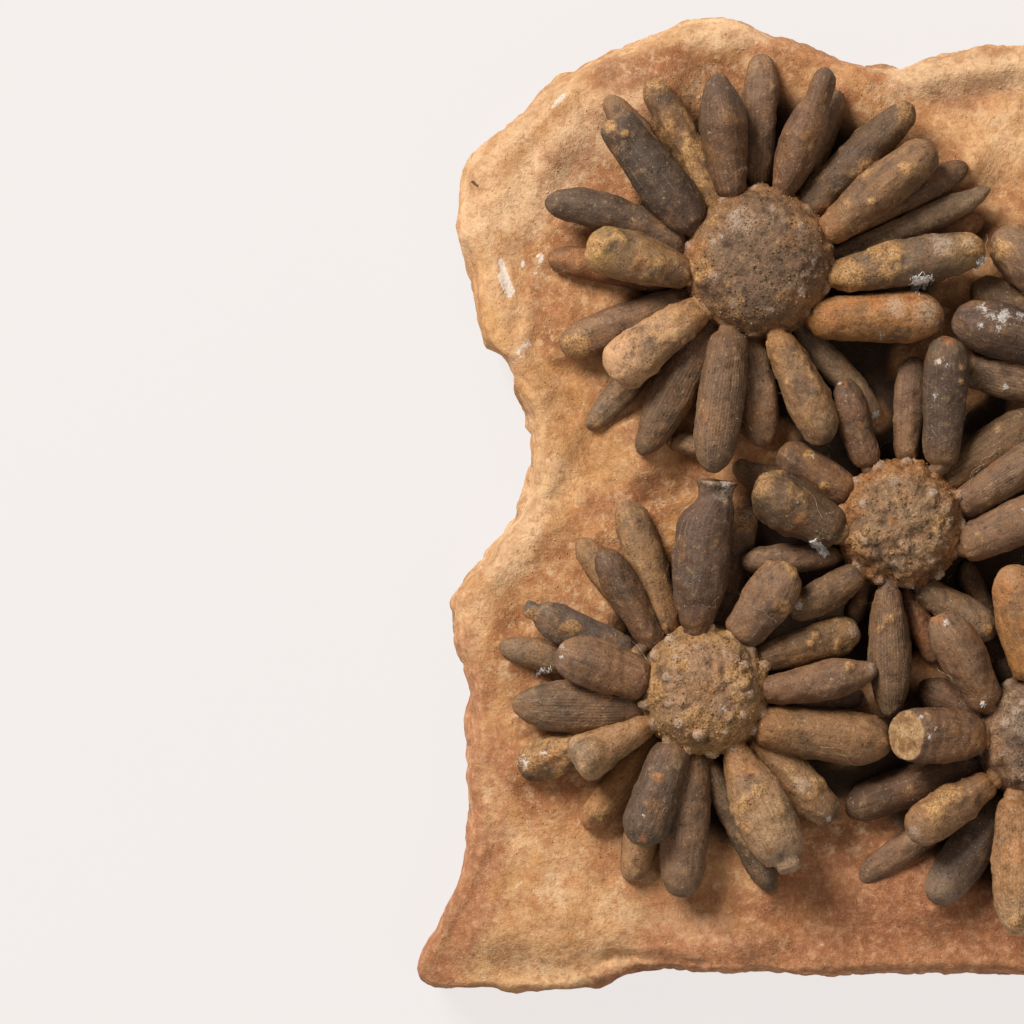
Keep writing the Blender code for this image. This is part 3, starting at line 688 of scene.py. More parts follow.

# %% [markdown]
# Stains, scratches and patches of painted shade are soft marks too: a short line, its half
# width and its strength. They are stored on the points of the mesh, where the limestone
# material reads them.

# %% Stains on the slab
# Two ends in mm, half the width, and how strong the mark is.
SLAB_MARKS = {
    "red": """
        -112 -112 -98 -80 12 1, -98 -80 -100 -40 6 0.95, -66 -108 -46 -104 5 1,
        -40 -104 110 -104 9 0.8, -50 -97 100 -97 14 0.9, -20 -90 30 -92 14 0.9,
        -62 -96 -50 -98 7 0.5, 6 92 40 94 7 0.45, -100 -84 -90 -60 9 0.55, -100 -30 -97 -44 6 0.6,
        -94 -54 -84 -64 7 0.6, -36 104 -18 100 5 0.5""",
    "pale": """
        -86 66 -62 92 9 0.9, -82 53 -85 34 4 0.5, -47 104 -34 106 5 0.8, -97 58 -95 76 6 0.7,
        -90 -14 -80 8 6 0.8, -84 -74 -62 -92 8 0.4, -60 -92 -34 -96 6 0.55, 0 95 60 99 6 0.9,
        -88 -73 -78 -70 2 0.4, -84 14 -80 26 6 0.7, -82.3 53.6 -84.5 39 1.6 0.5,
        -94 76 -78 92 4 0.7, -84.5 39 -85.9 33.3 2 0.6""",
    "ochre": """
        -80 26 -68 10 11 0.7, -52.5 -3 -52.5 -10 2.5 1, -86 20 -78 0 8 0.6, -60 -92 -20 -93 8 0.5,
        -95 42 -92 36 5 0.8, -98 48 -96 56 4 0.7, -92 -86 -84 -80 4 0.6, -84 -98 -70 -102 5 0.5""",
    "brown": """
        -66 -107.5 -52 -104.5 3.4 1, -60 94 -58 98 3 0.6, -78 78 -68 76 5 0.6,
        -74 62 -66 70 5 0.7, 0 89 28 92 4 0.4, -88 58 -84 66 4 0.45, -68 0 -58 4 6 0.6,
        -46 -92 -36 -96 5 0.4, -26 -100 -14 -94 4 0.5, 2 -99 16 -101 4 0.6, -34 -95 0 -92 9 0.9,
        -60 -90 -48 -94 5 0.45, -79 27 -70 10 7 0.6, -74 30 -70 0 7 0.45, -62 10 -58 -8 7 0.4,
        20 -96 100 -96 13 0.7, -14 -74 14 -80 9 0.8, 40 -94 -20 -96 8 0.8, -86 36 -80 14 6 0.35,
        -67 95 -51 99 6 0.75""",
    "white": """
        -90 51 -88.7 47.5 1.5 1, -90.5 54.4 -88.5 46.4 0.8 1, -85.6 54.4 -85.4 53.6 0.6 0.9,
        -82.2 55.8 -81.4 54.6 0.5 0.9, -80 58 -83 51 1 0.5, -79 88.6 -76.4 91.4 0.7 0.7,
        -85 82 -83 80 1 0.5, -84.4 36 -87 33 1.6 0.55, -93 -57 -86 -52 0.3 0.35,
        -91 -69.5 -85 -74 0.3 0.4, -88 -66 -84 -70 0.3 0.4, -44 -99.4 -38 -97.8 0.8 0.45,
        -20 -99 -17 -97 0.6 0.35""",
    "black": """
        -97.4 72 -96.6 71.9 0.42 1, -97.2 72 -95.4 71 0.2 0.9, -93 70.2 -92.4 70.5 0.3 1,
        -100 68.8 -99.8 68 0.4 1, -93 -55.6 -88.5 -56.4 0.35 0.8, -101 -98 -100.4 -97 0.4 0.6""",
    # Painted shade: near black in the deep gaps between the spines near the tests.
    "soil": """
        -8 -58 14 -57 5 1, -24 -64 0 -60 5 0.9, -2 -68 10 -74 4 0.6, -29 14 -18 22 5 0.7,
        -12 24 0 48 7 0.9, 4 52 14 62 6 0.8""",
}
print(sum(len(rows(text)) for text in SLAB_MARKS.values()), "marks on the slab")

# %% [markdown]
# Some marks follow a rule in place of a table: red rock down the lower side, dug stone round
# the tests, painted shade low down round the tests and on the shoulder that faces the window,
# and grit where the face is flat.

# %% Stored values of the slab
painted = {}
for kind, text in SLAB_MARKS.items():
    painted[kind] = np.zeros(len(plan))
    for x1, y1, x2, y2, half, strength in rows(text):
        gap = to_segment(plan, (x1, y1), (x2, y2))[0]
        painted[kind] = np.maximum(painted[kind], strength * step(gap, half * 1.4, half * 0.3))
soil = painted.pop("soil")
painted["red"] = np.maximum(painted["red"], 0.75 * step(down, 0.15, 0.5)
                            * step(plan[:, 1], -25, -70))
for kind, values in painted.items():
    store(slab_mesh, kind, values)
# Painted shade round the tests, wider towards the right; below it is kept to the low parts of the
# face.
shade_reach = 10 + 18 * step(plan[:, 0], -66, -36)
dug = step(off_tests(plan), 39, 31)
soil = np.maximum(soil, step(off_tests(plan), shade_reach, 0.4 * shade_reach))
low_edge, side, on_face = step(plan[:, 1], -20, -60), step(down, 0.1, 0.5), down == 0
# Painted shade: the shoulder that faces the window is stored darker, so the light doesn't bleach
# it.
facing = np.empty(3 * len(plan))
slab_mesh.vertices.foreach_get("normal", facing)
facing = facing.reshape(-1, 3) @ (-0.50, 0.59, 0.63)
for kind, values in (
        ("soil", soil * step(points[:, 2], 27.5, 23.5) * on_face), ("dug", dug),
        ("motley", (0.3 + 0.7 * np.maximum(dug, low_edge)) * (1 - 0.5 * side)), ("side", side),
        ("window_side_shade", step(facing, 0.68, 0.92)), ("grit", (0.25 + 0.75 * dug) * on_face),
        ("rough", step(down, 1.35, 0.9) * (1 + step(down, 0.05, 0.4)))):
    store(slab_mesh, kind, values)
print("stains on the slab:", ", ".join(painted))

# %% [markdown]
# ## Geometry Nodes: weathering
# Broken stone is rough at every scale, and always by the same rule: push each point along its
# normal by a sum of noises. That is a job for Geometry Nodes, which does it in one Set Position
# node. The tree has named inputs for the size and depth of the lumps and grains, so the slab,
# the spines and the tests can all use it. It also raises ribs where a mesh stores them: `turn`
# is the angle round a spine, and `rib_depth` says how tall the ribs are at each point.
# A stored value that a mesh doesn't have reads as 0, so the slab simply gets no ribs.


# %% Tree helpers
def new_tree(name, inputs):
    """An empty Geometry Nodes tree with a geometry input and the named inputs."""
    tree = bpy.data.node_groups.new(name, "GeometryNodeTree")
    tree.interface.new_socket("Geometry", in_out="INPUT", socket_type="NodeSocketGeometry")
    for label, kind in inputs:
        tree.interface.new_socket(label, in_out="INPUT", socket_type="NodeSocket" + kind)
    tree.interface.new_socket("Geometry", in_out="OUTPUT", socket_type="NodeSocketGeometry")
    return Sheet(tree)


def given(sheet):
    """The inputs of a tree as wires, by name."""
    made = sheet.tree.nodes.new("NodeGroupInput")
    return {s.name: Wire(sheet, s) for s in made.outputs if s.name}


def stored(sheet, name):
    """A value stored on the points of a mesh."""
    return sheet.node("GeometryNodeInputNamedAttribute", {"data_type": "FLOAT"}, {"Name": name})


def hand_over(sheet, shape, material):
    """Ends a tree: instances become real mesh and the material is set."""
    real = sheet.node("GeometryNodeRealizeInstances", {}, {"Geometry": shape})
    done = sheet.node("GeometryNodeSetMaterial", {}, {"Geometry": real, "Material": material})
    out = sheet.tree.nodes.new("NodeGroupOutput")
    sheet.tree.links.new(done.socket, out.inputs["Geometry"])
    print(f"tree {sheet.tree.name}: {len(sheet.tree.nodes)} nodes")


print("trees can be opened and closed")

# %% [markdown]
# The weathering tree itself: lumps and grains are two noises, the ribs are a cosine of the
# angle, and a crust rises where a stored mark and the lumps agree.

# %% Weathering tree
weather = new_tree("weather", [
    ("Lump size", "Float"), ("Lump depth", "Float"), ("Grain size", "Float"),
    ("Grain depth", "Float"), ("Crust depth", "Float"), ("Seed", "Float"),
    ("Material", "Material")])
have = given(weather)
spot = weather.node("GeometryNodeInputPosition")


def swell(size, detail, seed):
    """Noise about 0 whose blots have a size in metres."""
    return weather.node("ShaderNodeTexNoise", {"noise_dimensions": "4D"}, {
        "Vector": spot, "W": have["Seed"] + seed, "Scale": 1 / size, "Detail": detail,
        "Roughness": 0.6}) - 0.5


lumps = swell(have["Lump size"], 2.5, 0.0)
grains = swell(have["Grain size"], 3.0, 9.0)
ribs = (stored(weather, "turn") * stored(weather, "rib_count")).cosine()
crust = (stored(weather, "crust") + lumps * 1.6).between(0.35, 0.75)
push = (ribs * stored(weather, "rib_depth") + lumps * have["Lump depth"] * 2
        + grains * have["Grain depth"] * 2 + crust * (grains + 0.9) * have["Crust depth"])
offset = weather.scaled(weather.node("GeometryNodeInputNormal"),
                        push * stored(weather, "rough"))
moved = weather.node("GeometryNodeSetPosition", {}, {"Geometry": have["Geometry"],
                                                     "Offset": offset})
hand_over(weather, moved, have["Material"])

# %% [markdown]
# A tree is run on a mesh once, and what comes out is kept as plain mesh, so that the next tree
# can work on it. The finished piece then rides on the fixed frame in place of a solid.


# %% Pieces of the model
def worked(sheet, mesh, **sizes):
    """Runs a mesh through a tree and gives back the plain mesh that comes out."""
    carrier = bpy.data.objects.new("work", mesh)
    scene.collection.objects.link(carrier)
    modifier = carrier.modifiers.new("work", "NODES")
    modifier.node_group = sheet.tree
    labels = {s.name: s.identifier for s in sheet.tree.interface.items_tree
              if s.in_out == "INPUT"}
    for label, value in sizes.items():
        modifier[labels[label.replace("_", " ")]] = value
    plain = bpy.data.meshes.new_from_object(
        carrier.evaluated_get(bpy.context.evaluated_depsgraph_get()))
    bpy.data.objects.remove(carrier)
    plain.shade_smooth()
    return plain


def piece(name, mesh, slot, *nodes):
    """Puts a finished mesh in the scene, in place of the solids it stands for."""
    made = bpy.data.objects.new(name, mesh)
    mesh.name = name
    scene.collection.objects.link(made)
    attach(made, "root")
    if nodes:
        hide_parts(*nodes)
    triangles = sum(len(p.vertices) - 2 for p in mesh.polygons)
    print(f"{name}: {triangles} triangles")
    return made


slab_mesh = worked(weather, slab_mesh, Lump_size=0.011, Lump_depth=0.0014, Grain_size=0.0022,
                   Grain_depth=0.00018, Crust_depth=0.0, Seed=3.0, Material=limestone)
piece("slab", slab_mesh, "limestone", "matrix_slab")

# %% [markdown]
# ## Spines
# A live urchin's spine is a single crystal of calcite, with fine ribs along it. These fossil
# ones are worn, stained from slate grey to orange, and some keep a crust of sandy rock. Each is
# lofted: an outline curve (how fat it is at each point along it) is swept round the line from
# base to tip. Named finishes hold the colours, so that a spine is one row of the table.

# %% Outlines
# Along the spine (0 at the base, 1 at the tip), and part of the half width.
OUTLINES = {name: rows(text) for name, text in {
    "club": """
        0 0.46, 0.02 0.62, 0.05 0.73, 0.11 0.82, 0.22 0.89, 0.4 0.96, 0.58 1.01, 0.72 1,
        0.83 0.93, 0.915 0.76, 0.967 0.52, 0.993 0.26, 1 0""",
    "blob": """
        0 0.48, 0.02 0.66, 0.05 0.78, 0.11 0.87, 0.22 0.93, 0.4 0.99, 0.58 1.03, 0.76 0.99,
        0.88 0.83, 0.955 0.57, 0.99 0.29, 1 0""",
    "point": """
        0 0.44, 0.02 0.58, 0.06 0.68, 0.2 0.84, 0.38 0.95, 0.56 1.02, 0.72 0.94, 0.85 0.73,
        0.93 0.52, 0.98 0.28, 1 0""",
    "knob": """
        0 0.42, 0.02 0.54, 0.05 0.62, 0.12 0.7, 0.25 0.79, 0.42 0.89, 0.6 0.98, 0.76 1.02,
        0.87 0.94, 0.94 0.74, 0.98 0.44, 1 0""",
    "heavy": """
        0 0.5, 0.02 0.7, 0.05 0.82, 0.11 0.92, 0.22 1.01, 0.38 1.02, 0.58 0.95, 0.78 0.86,
        0.91 0.79, 0.965 0.72, 0.992 0.6, 1 0.44, 1 0.2, 0.998 0""",
    "nipple": """
        0 0.44, 0.04 0.56, 0.12 0.7, 0.26 0.85, 0.48 0.99, 0.66 1.02, 0.8 0.9, 0.88 0.66,
        0.915 0.46, 0.96 0.44, 0.99 0.4, 1 0.34, 1 0.14, 0.995 0""",
    "collared": """
        0 0.34, 0.03 0.36, 0.045 0.6, 0.075 0.66, 0.1 0.58, 0.115 0.4, 0.13 0.4, 0.16 0.66,
        0.24 0.84, 0.46 0.99, 0.66 1.02, 0.8 0.9, 0.88 0.66, 0.915 0.46, 0.96 0.44, 0.99 0.4,
        1 0.34, 1 0.14, 0.995 0""",
    "necked": """
        0 0.46, 0.03 0.56, 0.09 0.7, 0.2 0.86, 0.38 1.02, 0.56 0.98, 0.66 0.84, 0.72 0.66,
        0.78 0.6, 0.87 0.58, 0.94 0.5, 0.98 0.34, 0.995 0.2, 1 0""",
    "flared": """
        0 0.46, 0.03 0.58, 0.09 0.72, 0.22 0.88, 0.42 1, 0.61 1.02, 0.73 0.95, 0.81 0.8,
        0.865 0.64, 0.91 0.59, 0.955 0.64, 0.985 0.72, 1 0.69, 1 0.34, 0.998 0""",
    "cut": """
        0 0.48, 0.03 0.58, 0.09 0.7, 0.22 0.85, 0.45 1, 0.72 0.98, 0.92 0.88, 0.985 0.84, 1 0.8,
        1 0.72, 1 0.35, 0.995 0""",
    "sawn": """
        0 0.44, 0.03 0.58, 0.09 0.72, 0.22 0.88, 0.45 1.02, 0.68 1.01, 0.9 0.93, 0.985 0.89,
        1 0.865, 1.001 0.8, 1 0.62, 1 0.32, 1 0""",
    "cone": """
        0 0.4, 0.05 0.48, 0.14 0.58, 0.3 0.7, 0.6 0.88, 0.82 1.02, 0.91 1, 0.965 0.86, 0.99 0.62,
        1 0.34, 1 0""",
}.items()}
OUTLINES["under"] = OUTLINES["club"]
# How freshly broken the end face of a form looks. The other forms end in a worn, round tip.
BREAKS = {"sawn": 1.0, "flared": 0.5, "cut": 0.6, "nipple": 0.25,
          "collared": 0.05, "heavy": 0.3}
print(len(OUTLINES), "outlines")

# %% Finishes
# Colours at the neck, the body and the tip; how much crust, orange and pale grain; how tall the
# ribs are in mm, and how much black stain.
Finish = namedtuple("Finish", "neck body tip crust rust pale ribs soot", defaults=(0.0,))
FINISHES = {name: Finish(*row) for name, *row in rows("""
    slate #715239 #5c4635 #5f4936 0.1 0.14 0.24 0.007 0.1,
    soot #624531 #4e3b2d #584333 0.06 0.1 0.24 0 0.1,
    umber #724c30 #704d33 #664933 0.12 0.26 0.2 0.014,
    bark #876140 #836045 #88674b 0.2 0.22 0.24 0.014,
    russet #784525 #875230 #855c3c 0.18 0.46 0.16 0.014 0.1,
    rose #7d5436 #866043 #89664a 0.12 0.24 0.26 0.017,
    fawn #9b6836 #9d6f3f #9f7547 0.22 0.28 0.24 0.01,
    sand #8f643e #97704a #a17a55 0.3 0.14 0.26 0,
    plum #6e4c34 #5f4636 #664c3b 0.1 0.2 0.24 0.007 0.06,
    buff #96683a #bb8d62 #cf9f74 0.38 0.14 0.44 0 0.16,
    honey #865f36 #8f6b43 #98734a 0.4 0.14 0.26 0 0.1,
    tawny #8c5f36 #8b6440 #936c48 0.24 0.26 0.26 0.01 0.06,
    pearl #9c6c3e #aa825b #b29071 0.24 0.14 0.42 0.012,
    ochreous #7d5530 #8a6845 #a9844e 0.36 0.2 0.24 0 0.12,
    dusky #4f3d30 #604c3d #8c725b 0.1 0.1 0.3 0.01 0.1,
    cream #99683a #a9794b #b89066 0.2 0.3 0.5 0.02,
    amber #9a6733 #ab7643 #ab7c52 0.16 0.42 0.3 0 0.06,
    olive #75512f #745333 #7c5d3b 0.22 0.2 0.22 0.017,
    moss #6b5035 #6a513a #715840 0.24 0.16 0.24 0.01 0.1,
    marbled #8a6338 #6f5741 #8f6f45 0.22 0.18 0.24 0 0.3,
    ash #7a5b40 #7f6348 #886b4f 0.22 0.22 0.3 0.017,
    ribbed #785437 #7a5a3f #7e6045 0.12 0.2 0.26 0.036,
    mottled #6f5236 #63482f #6f5236 0.34 0.16 0.24 0 0.5,
    crusted #936835 #7c5837 #735439 0.46 0.3 0.18 0 0.15,
    gilded #9c6c3c #98704a #8c6a4a 0.34 0.18 0.34 0 0.08,
    cracked #6d5540 #605044 #695a4b 0.26 0.08 0.3 0.014 0.5""")}
print(len(FINISHES), "finishes")

# %% Marks on the spines
# The spine's number in its urchin's list, the middle of the mark in mm and its size.
SPOTS = {
    "urchin_upper_left": {
        "crust": """
            3 -66.6 83.6 1.6, 3 -63.2 81.2 0.8, 10 -1 86.6 3, 10 -10 74.6 2, 11 -2 74 1.6,
            11 -9 66.5 1, 24 -74 35 3.5, 1 -69.5 56.5 3.2, 15 13.5 56.6 3.2, 15 -6 54.6 5.2,
            15 -13 51 4, 5 -48 78 4""",
        "rust": "16 -8 45.6 4, 16 0 46 3.4, 16 -13 45 3.2, 1 -60 53 3, 16 -17 41.6 3.4",
        "soot": """
            10 -5.5 83 2.6, 10 -11 78 2.4, 10 -17 71 2.4, 1 -66.5 56 2.2, 5 -54 90 3,
            16 6.4 39.6 1.8, 16 -4 38 1.9, 16 -12 38.2 1.6, 18 -18.3 13.4 2.6, 22 -58 36 2,
            22 -63 30.5 1.6, 20 -44.4 9 1.6""",
        "pale": "16 3 42.4 3.6, 16 -4 43.4 3, 15 12 57.6 2.2, 15 6 57.6 3.4",
        "white": "16 -6.8 36.9 0.8, 16 -4.5 36.7 0.6, 16 5.6 40 0.5, 17 -7.2 20 1.2",
    },
    "urchin_centre": {
        "crust": """
            0 -22.5 10.9 1.6, 0 -19 3.8 1.6, 1 -32.6 4 3, 4 -25.6 -21 1.6, 6 -5 -25 1.2,
            6 -7 -27.3 1.1, 12 10.6 30 0.9, 12 10.3 27 0.8, 8 17 -27.6 1.2""",
        "white": """
            0 -22 10.7 0.6, 4 -24.6 -22.4 1.2, 9 24.5 -1 0.8, 12 5.6 31.4 0.9, 12 7.2 30.6 0.8,
            12 4.8 23.7 0.7, 14 -15.6 26.6 0.6""",
        "rust": "1 -25 -3.6 2.6, 12 7.6 36.4 1.8, 14 -11 17.5 1.5, 14 -14.6 26.4 1.4",
        "soot": "1 -28.5 5.5 0.9",
    },
    "urchin_lower_left": {
        "white": """
            0 -41.2 4.4 1.4, 6 -77 -31.4 0.8, 6 -77.2 -33.4 0.6, 9 -85.4 -57 1.6, 9 -81 -55 0.8,
            11 -59 -68 0.6, 16 -18 -69.4 1""",
        "pale": """
            0 -41.6 2.6 2.6, 0 -44.4 5.2 1.8, 8 -75.6 -58.4 2.4, 16 -24 -62 3, 18 -9 -36.2 1.6,
            19 -12.4 -28 2, 21 -35.6 -2 3""",
        "crust": """
            4 -84 -24.6 2, 4 -75 -27.5 2.2, 4 -61.5 -32.8 1.4, 9 -84 -57 3.4, 10 -68 -69 2,
            15 -37 -66 2.4, 15 -33.6 -63 2, 15 -36.6 -70.6 1.8, 18 -13.7 -35.6 1.4,
            19 -22 -31 1.4, 19 -21 -29 1, 19 -16.5 -30.3 1.6, 20 -26.4 -13.8 2.2,
            20 -29 -22.5 1.8, 21 -36 -2.6 4""",
        "soot": "4 -79 -24.5 1.4, 9 -84.6 -60.6 2.2, 11 -57.4 -68 1.6, 14 -31 -84.6 1.8",
        "rust": """
            9 -79 -56 2.4, 10 -70 -70.6 4, 11 -56 -60 1.6, 11 -59.2 -73.2 1.5, 15 -36 -58.6 3.6,
            15 -31.5 -76 1.6, 17 -5 -51 1.4""",
    },
    "urchin_lower_right": {
        "white": """
            0 1.5 -46.3 0.6, 0 3 -50.5 0.6, 0 4.5 -49 0.5, 5 25 -84 0.8, 6 7 -25.6 1,
            15 50 -69 0.8""",
        "crust": "2 8 -64 3, 2 4 -66.4 2.6, 5 23.6 -92 3, 13 58 -47.6 3",
        "pale": "2 0 -72 2.4",
        "rust": "5 22 -76 4, 6 5.6 -24.8 2.2, 8 20 -19 4, 8 25 -28 4",
    },
    "urchin_upper_right": {
        "white": """
            0 15.8 43.4 1.5, 0 20 41.6 2, 0 24 41.6 1.6, 0 15 39.3 0.9, 0 19 38.5 0.9,
            0 17.6 41.4 1.2, 1 21 26 0.7, 5 48 68 0.8, 11 65 7 0.7""",
        "crust": "2 20 57 2.5, 9 80 27.6 2.6",
        "rust": "7 72 55 3",
    },
    "urchin_right": {
        "rust": "1 55 -22.6 3, 9 73.6 -49 3",
        "crust": "3 82.4 1.6 2.4, 5 98 -17 3",
        "white": "7 95 -41 0.8",
    },
}
print(sum(len(rows(text)) for kinds in SPOTS.values() for text in kinds.values()),
      "marks on the spines")

# %% Lofting one spine
NECK_WIDTH, ROOT_DEPTH, TUCK = 0.48, 0.62, 2.2
# Points round and along a spine that lies on top and one that lies below, the points round a
# strongly ribbed one, and the rounds that a broken end adds.
TOP_MESH, LOW_MESH, RIBBED_SIDES, BREAK_ROUNDS = (72, 60), (44, 42), (192, 144), 18
TOP_Z, OUTLINE_STEPS = 30, 14
shuffle = np.random.default_rng(11)


def loft(spine, urchin):
    """Points and faces of one spine in mm, and where its rings and rows of points lie."""
    top = spine.tip_z > TOP_Z
    sides, rounds = TOP_MESH if top else LOW_MESH
    if FINISHES[spine.finish].ribs > 0.03:
        sides = RIBBED_SIDES[not top]
    if spine.form in BREAKS:
        rounds += BREAK_ROUNDS
    tip = np.array([spine.tip_x, spine.tip_y, spine.tip_z])
    base = np.array([spine.base_x, spine.base_y, spine.base_z])
    base += (base - tip) / np.linalg.norm(base - tip) * TUCK * (urchin.radius > 0)
    heart = np.array([urchin.x, urchin.y, TEST_MIDDLE_Z])
    outward = (base - heart) * (1, 1, 0)
    root = heart + outward / np.linalg.norm(outward) * urchin.radius * ROOT_DEPTH
    root[2] = 0.5 * (TEST_MIDDLE_Z + base[2]) if urchin.radius else base[2]
    length, neck = np.linalg.norm(tip - base), np.linalg.norm(base - root)
    half = spine.width / 2
    outline = np.array(OUTLINES[spine.form]) * (length, half)
    outline = np.vstack([[-neck, half * NECK_WIDTH], [-0.5 * neck, half * NECK_WIDTH],
                         [-0.1 * neck, half * NECK_WIDTH * 1.05], outline])
    curve = curve_through(outline, OUTLINE_STEPS)
    travel = np.concatenate([[0], np.cumsum(np.hypot(*np.diff(curve, axis=0).T))])
    even = np.linspace(0, travel[-1], rounds + 1)
    place = np.interp(even, travel, curve[:, 0])
    fat = np.maximum(np.interp(even, travel, curve[:, 1]), 0)
    fat[-1] = 0
    line = (tip - base) / length
    side = np.cross((0, 0, 1), line)
    side /= np.linalg.norm(side)
    up = np.cross(line, side)
    t = place / length
    wobble = shuffle.uniform(-1, 1, 8)
    bend = (spine.bow + 0.35 * wobble[4]) * 4 * np.clip(t, 0, 1) * (1 - np.clip(t, 0, 1))
    bend -= spine.hook * step(t, 0.70, 0.88)
    middle = np.where(t[:, None] < 0, base + (base - root) * (place / neck)[:, None],
                      base + line * place[:, None]) + bend[:, None] * side
    turn = 2 * math.pi * np.arange(sides) / sides - math.pi / 2
    flat = (1 + 0.06 * wobble[0] * np.cos(2 * turn) + 0.04 * wobble[1] * np.cos(3 * turn + 2)
            + 0.015 * np.cos(5 * turn + 4 * wobble[5]))
    swell = 1 + 0.04 * np.sin(3.2 * t + 3 * wobble[2]) + 0.025 * np.sin(9 * t + 5 * wobble[3])
    radius = (fat * swell)[:, None] * flat
    lean = spine.slant * step(t, 0.72, 0.98) * (spine.form in BREAKS)
    shapes = (middle[:, None] + (radius * np.cos(turn))[..., None] * side
              + (radius * np.sin(turn))[..., None] * up
              - (lean[:, None] * radius * np.sin(turn))[..., None] * line)
    rings = shapes[:-1].reshape(-1, 3)
    points = np.vstack([rings, middle[0], shapes[-1, 0]])
    grid = np.arange(len(rings)).reshape(rounds, sides)
    after = np.roll(grid, -1, axis=1)
    walls = bands(grid)[:, [0, 3, 2, 1]]
    root_end, tip_end = len(rings), len(rings) + 1
    root_fan = np.column_stack([after[0], grid[0], np.full(sides, root_end)])
    tip_fan = np.column_stack([grid[-1], after[-1], np.full(sides, tip_end)])
    return points, (walls, root_fan, tip_fan), t, turn, place + neck


print("points on a spine: at least", math.prod(TOP_MESH), "on top and", math.prod(LOW_MESH),
      "below")

# %% [markdown]
# The loft alone is a bare shape. The next cell gives each spine its flat map for the streaks,
# and stores its colours, ribs and stains on its points. The marks of the table fade outwards
# from their middle, and lie on the upper side only.

# %% Map and colours of a spine
STAIN_FADE, SOOT_PART, RIB_PART = 0.56, 0.85, 0.45


def skin_map(half, turn, way):
    """Round the spine and along it, in units of 100 mm, with the seam underneath."""
    sides, rounds = len(turn), len(way) - 1
    round_way = np.arange(sides + 1) / sides * 2 * math.pi * half / 100
    long_way = way / 100
    turns, rises = np.arange(sides)[:, None] + (0, 1, 1, 0), np.arange(rounds - 1)
    wall_map = np.stack(np.broadcast_arrays(
        round_way[turns], long_way[rises[:, None] + (0, 0, 1, 1)][:, None]), -1)
    ends = np.stack([round_way[:-1], round_way[1:], (round_way[:-1] + round_way[1:]) / 2], -1)
    root_map = np.stack([ends[:, [1, 0, 2]], np.full((sides, 3), long_way[0])], -1)
    tip_map = np.stack([ends, np.full((sides, 3), long_way[-1])], -1)
    drift = shuffle.uniform(0, 4)
    return [m.reshape(-1, 2) + (0, drift) for m in (wall_map, root_map, tip_map)]


def spine_values(spine, urchin, number, points, t, turn):
    """What is stored on each point of a spine, by name."""
    finish = FINISHES[spine.finish]
    along = np.concatenate([np.repeat(t[:-1], len(turn)), [t[0], 1.0]])
    neck_c, body_c, tip_c = (np.array(colour(c)) for c in finish[:3])
    to_body, to_tip = step(along, 0.0, 0.35)[:, None], step(along, 0.6, 1.0)[:, None]
    tone = neck_c * (1 - to_body) + body_c * to_body
    tone = tone * (1 - to_tip) + tip_c * to_tip
    tone = tone * shuffle.uniform(0.93, 1.08)
    same = {"rib_count": 48.0 if spine.tip_z > TOP_Z else 36.0, "rough": 1.0, "white": 0.0,
            **{kind: getattr(finish, kind) for kind in ("ribs", "crust", "rust", "pale", "soot")}}
    values = {
        "tone": tone, "turn": np.concatenate([np.tile(turn, len(t) - 1), [0, 0]]),
        "rib_depth": RIB_PART * finish.ribs * MM * step(along, 0.02, 0.25) * step(along, 1.0, 0.86),
        **{kind: np.full(len(points), value) for kind, value in same.items()},
        "broken": (along > 0.9995) * BREAKS.get(spine.form, 0.0),
        # Painted shade: darker low down among the spines near the test.
        "low_shade": (urchin.radius > 0) * step(points[:, 2], 31, 23) * step(
            far_from(points, urchin.x, urchin.y), urchin.radius + 30, urchin.radius + 12),
    }
    upper = step(points[:, 2] - (spine.tip_z + spine.base_z) / 2, -2.5, 0)
    for kind, text in SPOTS.get(urchin.name, {}).items():
        for _, x, y, half_size in (row for row in rows(text) if row[0] == number):
            stain = upper * np.clip(
                1 - STAIN_FADE * far_from(points, x, y) / half_size, 0, 1)
            values[kind] = np.maximum(values[kind],
                                      stain * (SOOT_PART if kind == "soot" else 1))
    return values


def spine_group(urchin):
    """All the spines of one urchin as a single mesh."""
    places, faces, maps, values = [], [], [], []
    for number, spine in enumerate(urchin.spines):
        points, fronts, t, turn, way = loft(spine, urchin)
        places.append(points)
        faces.append(fronts)
        maps.append(skin_map(spine.width / 2, turn, way))
        values.append(spine_values(spine, urchin, number, points, t, turn))
    starts = np.cumsum([0] + [len(p) for p in places])
    quads = np.vstack([f[0] + start for f, start in zip(faces, starts)])
    fans = np.vstack([np.vstack(f[1:]) + start for f, start in zip(faces, starts)])
    mesh = mesh_of(urchin.name, np.vstack(places), quads, fans)
    skin = np.vstack([m[0] for m in maps] + [np.vstack(m[1:]) for m in maps])
    mesh.uv_layers.new(name="skin").data.foreach_set("uv", skin.astype(np.float32).ravel())
    for name in values[0]:
        store(mesh, name, np.concatenate([v[name] for v in values]))
    return mesh


print("spines can be mapped, coloured and grouped")

# %% [markdown]
# ## Fossil shell and spine colours
# The skin of a spine is brown-grey calcite with faint streaks that run along it, cloudy
# darker and lighter patches, orange iron stain, and in places a raised crust of sandy rock.
# A flat map round the spine, the `skin` map, lets the streaks follow it, and the rest is noise
# in space. The crust uses the same noise as the weathering tree, so colour and relief agree.
# The fine ribs come from the stored angle, so they stay in step with the ribs of the mesh.
# Low down near the tests the colour is darkened almost to black as painted shade, which makes the
# gaps nearly black.
# The tests are the same stuff, only grainier, so one recipe makes both materials.

# %% Fossil materials
LUMP, SEED = 5.0, 3.0


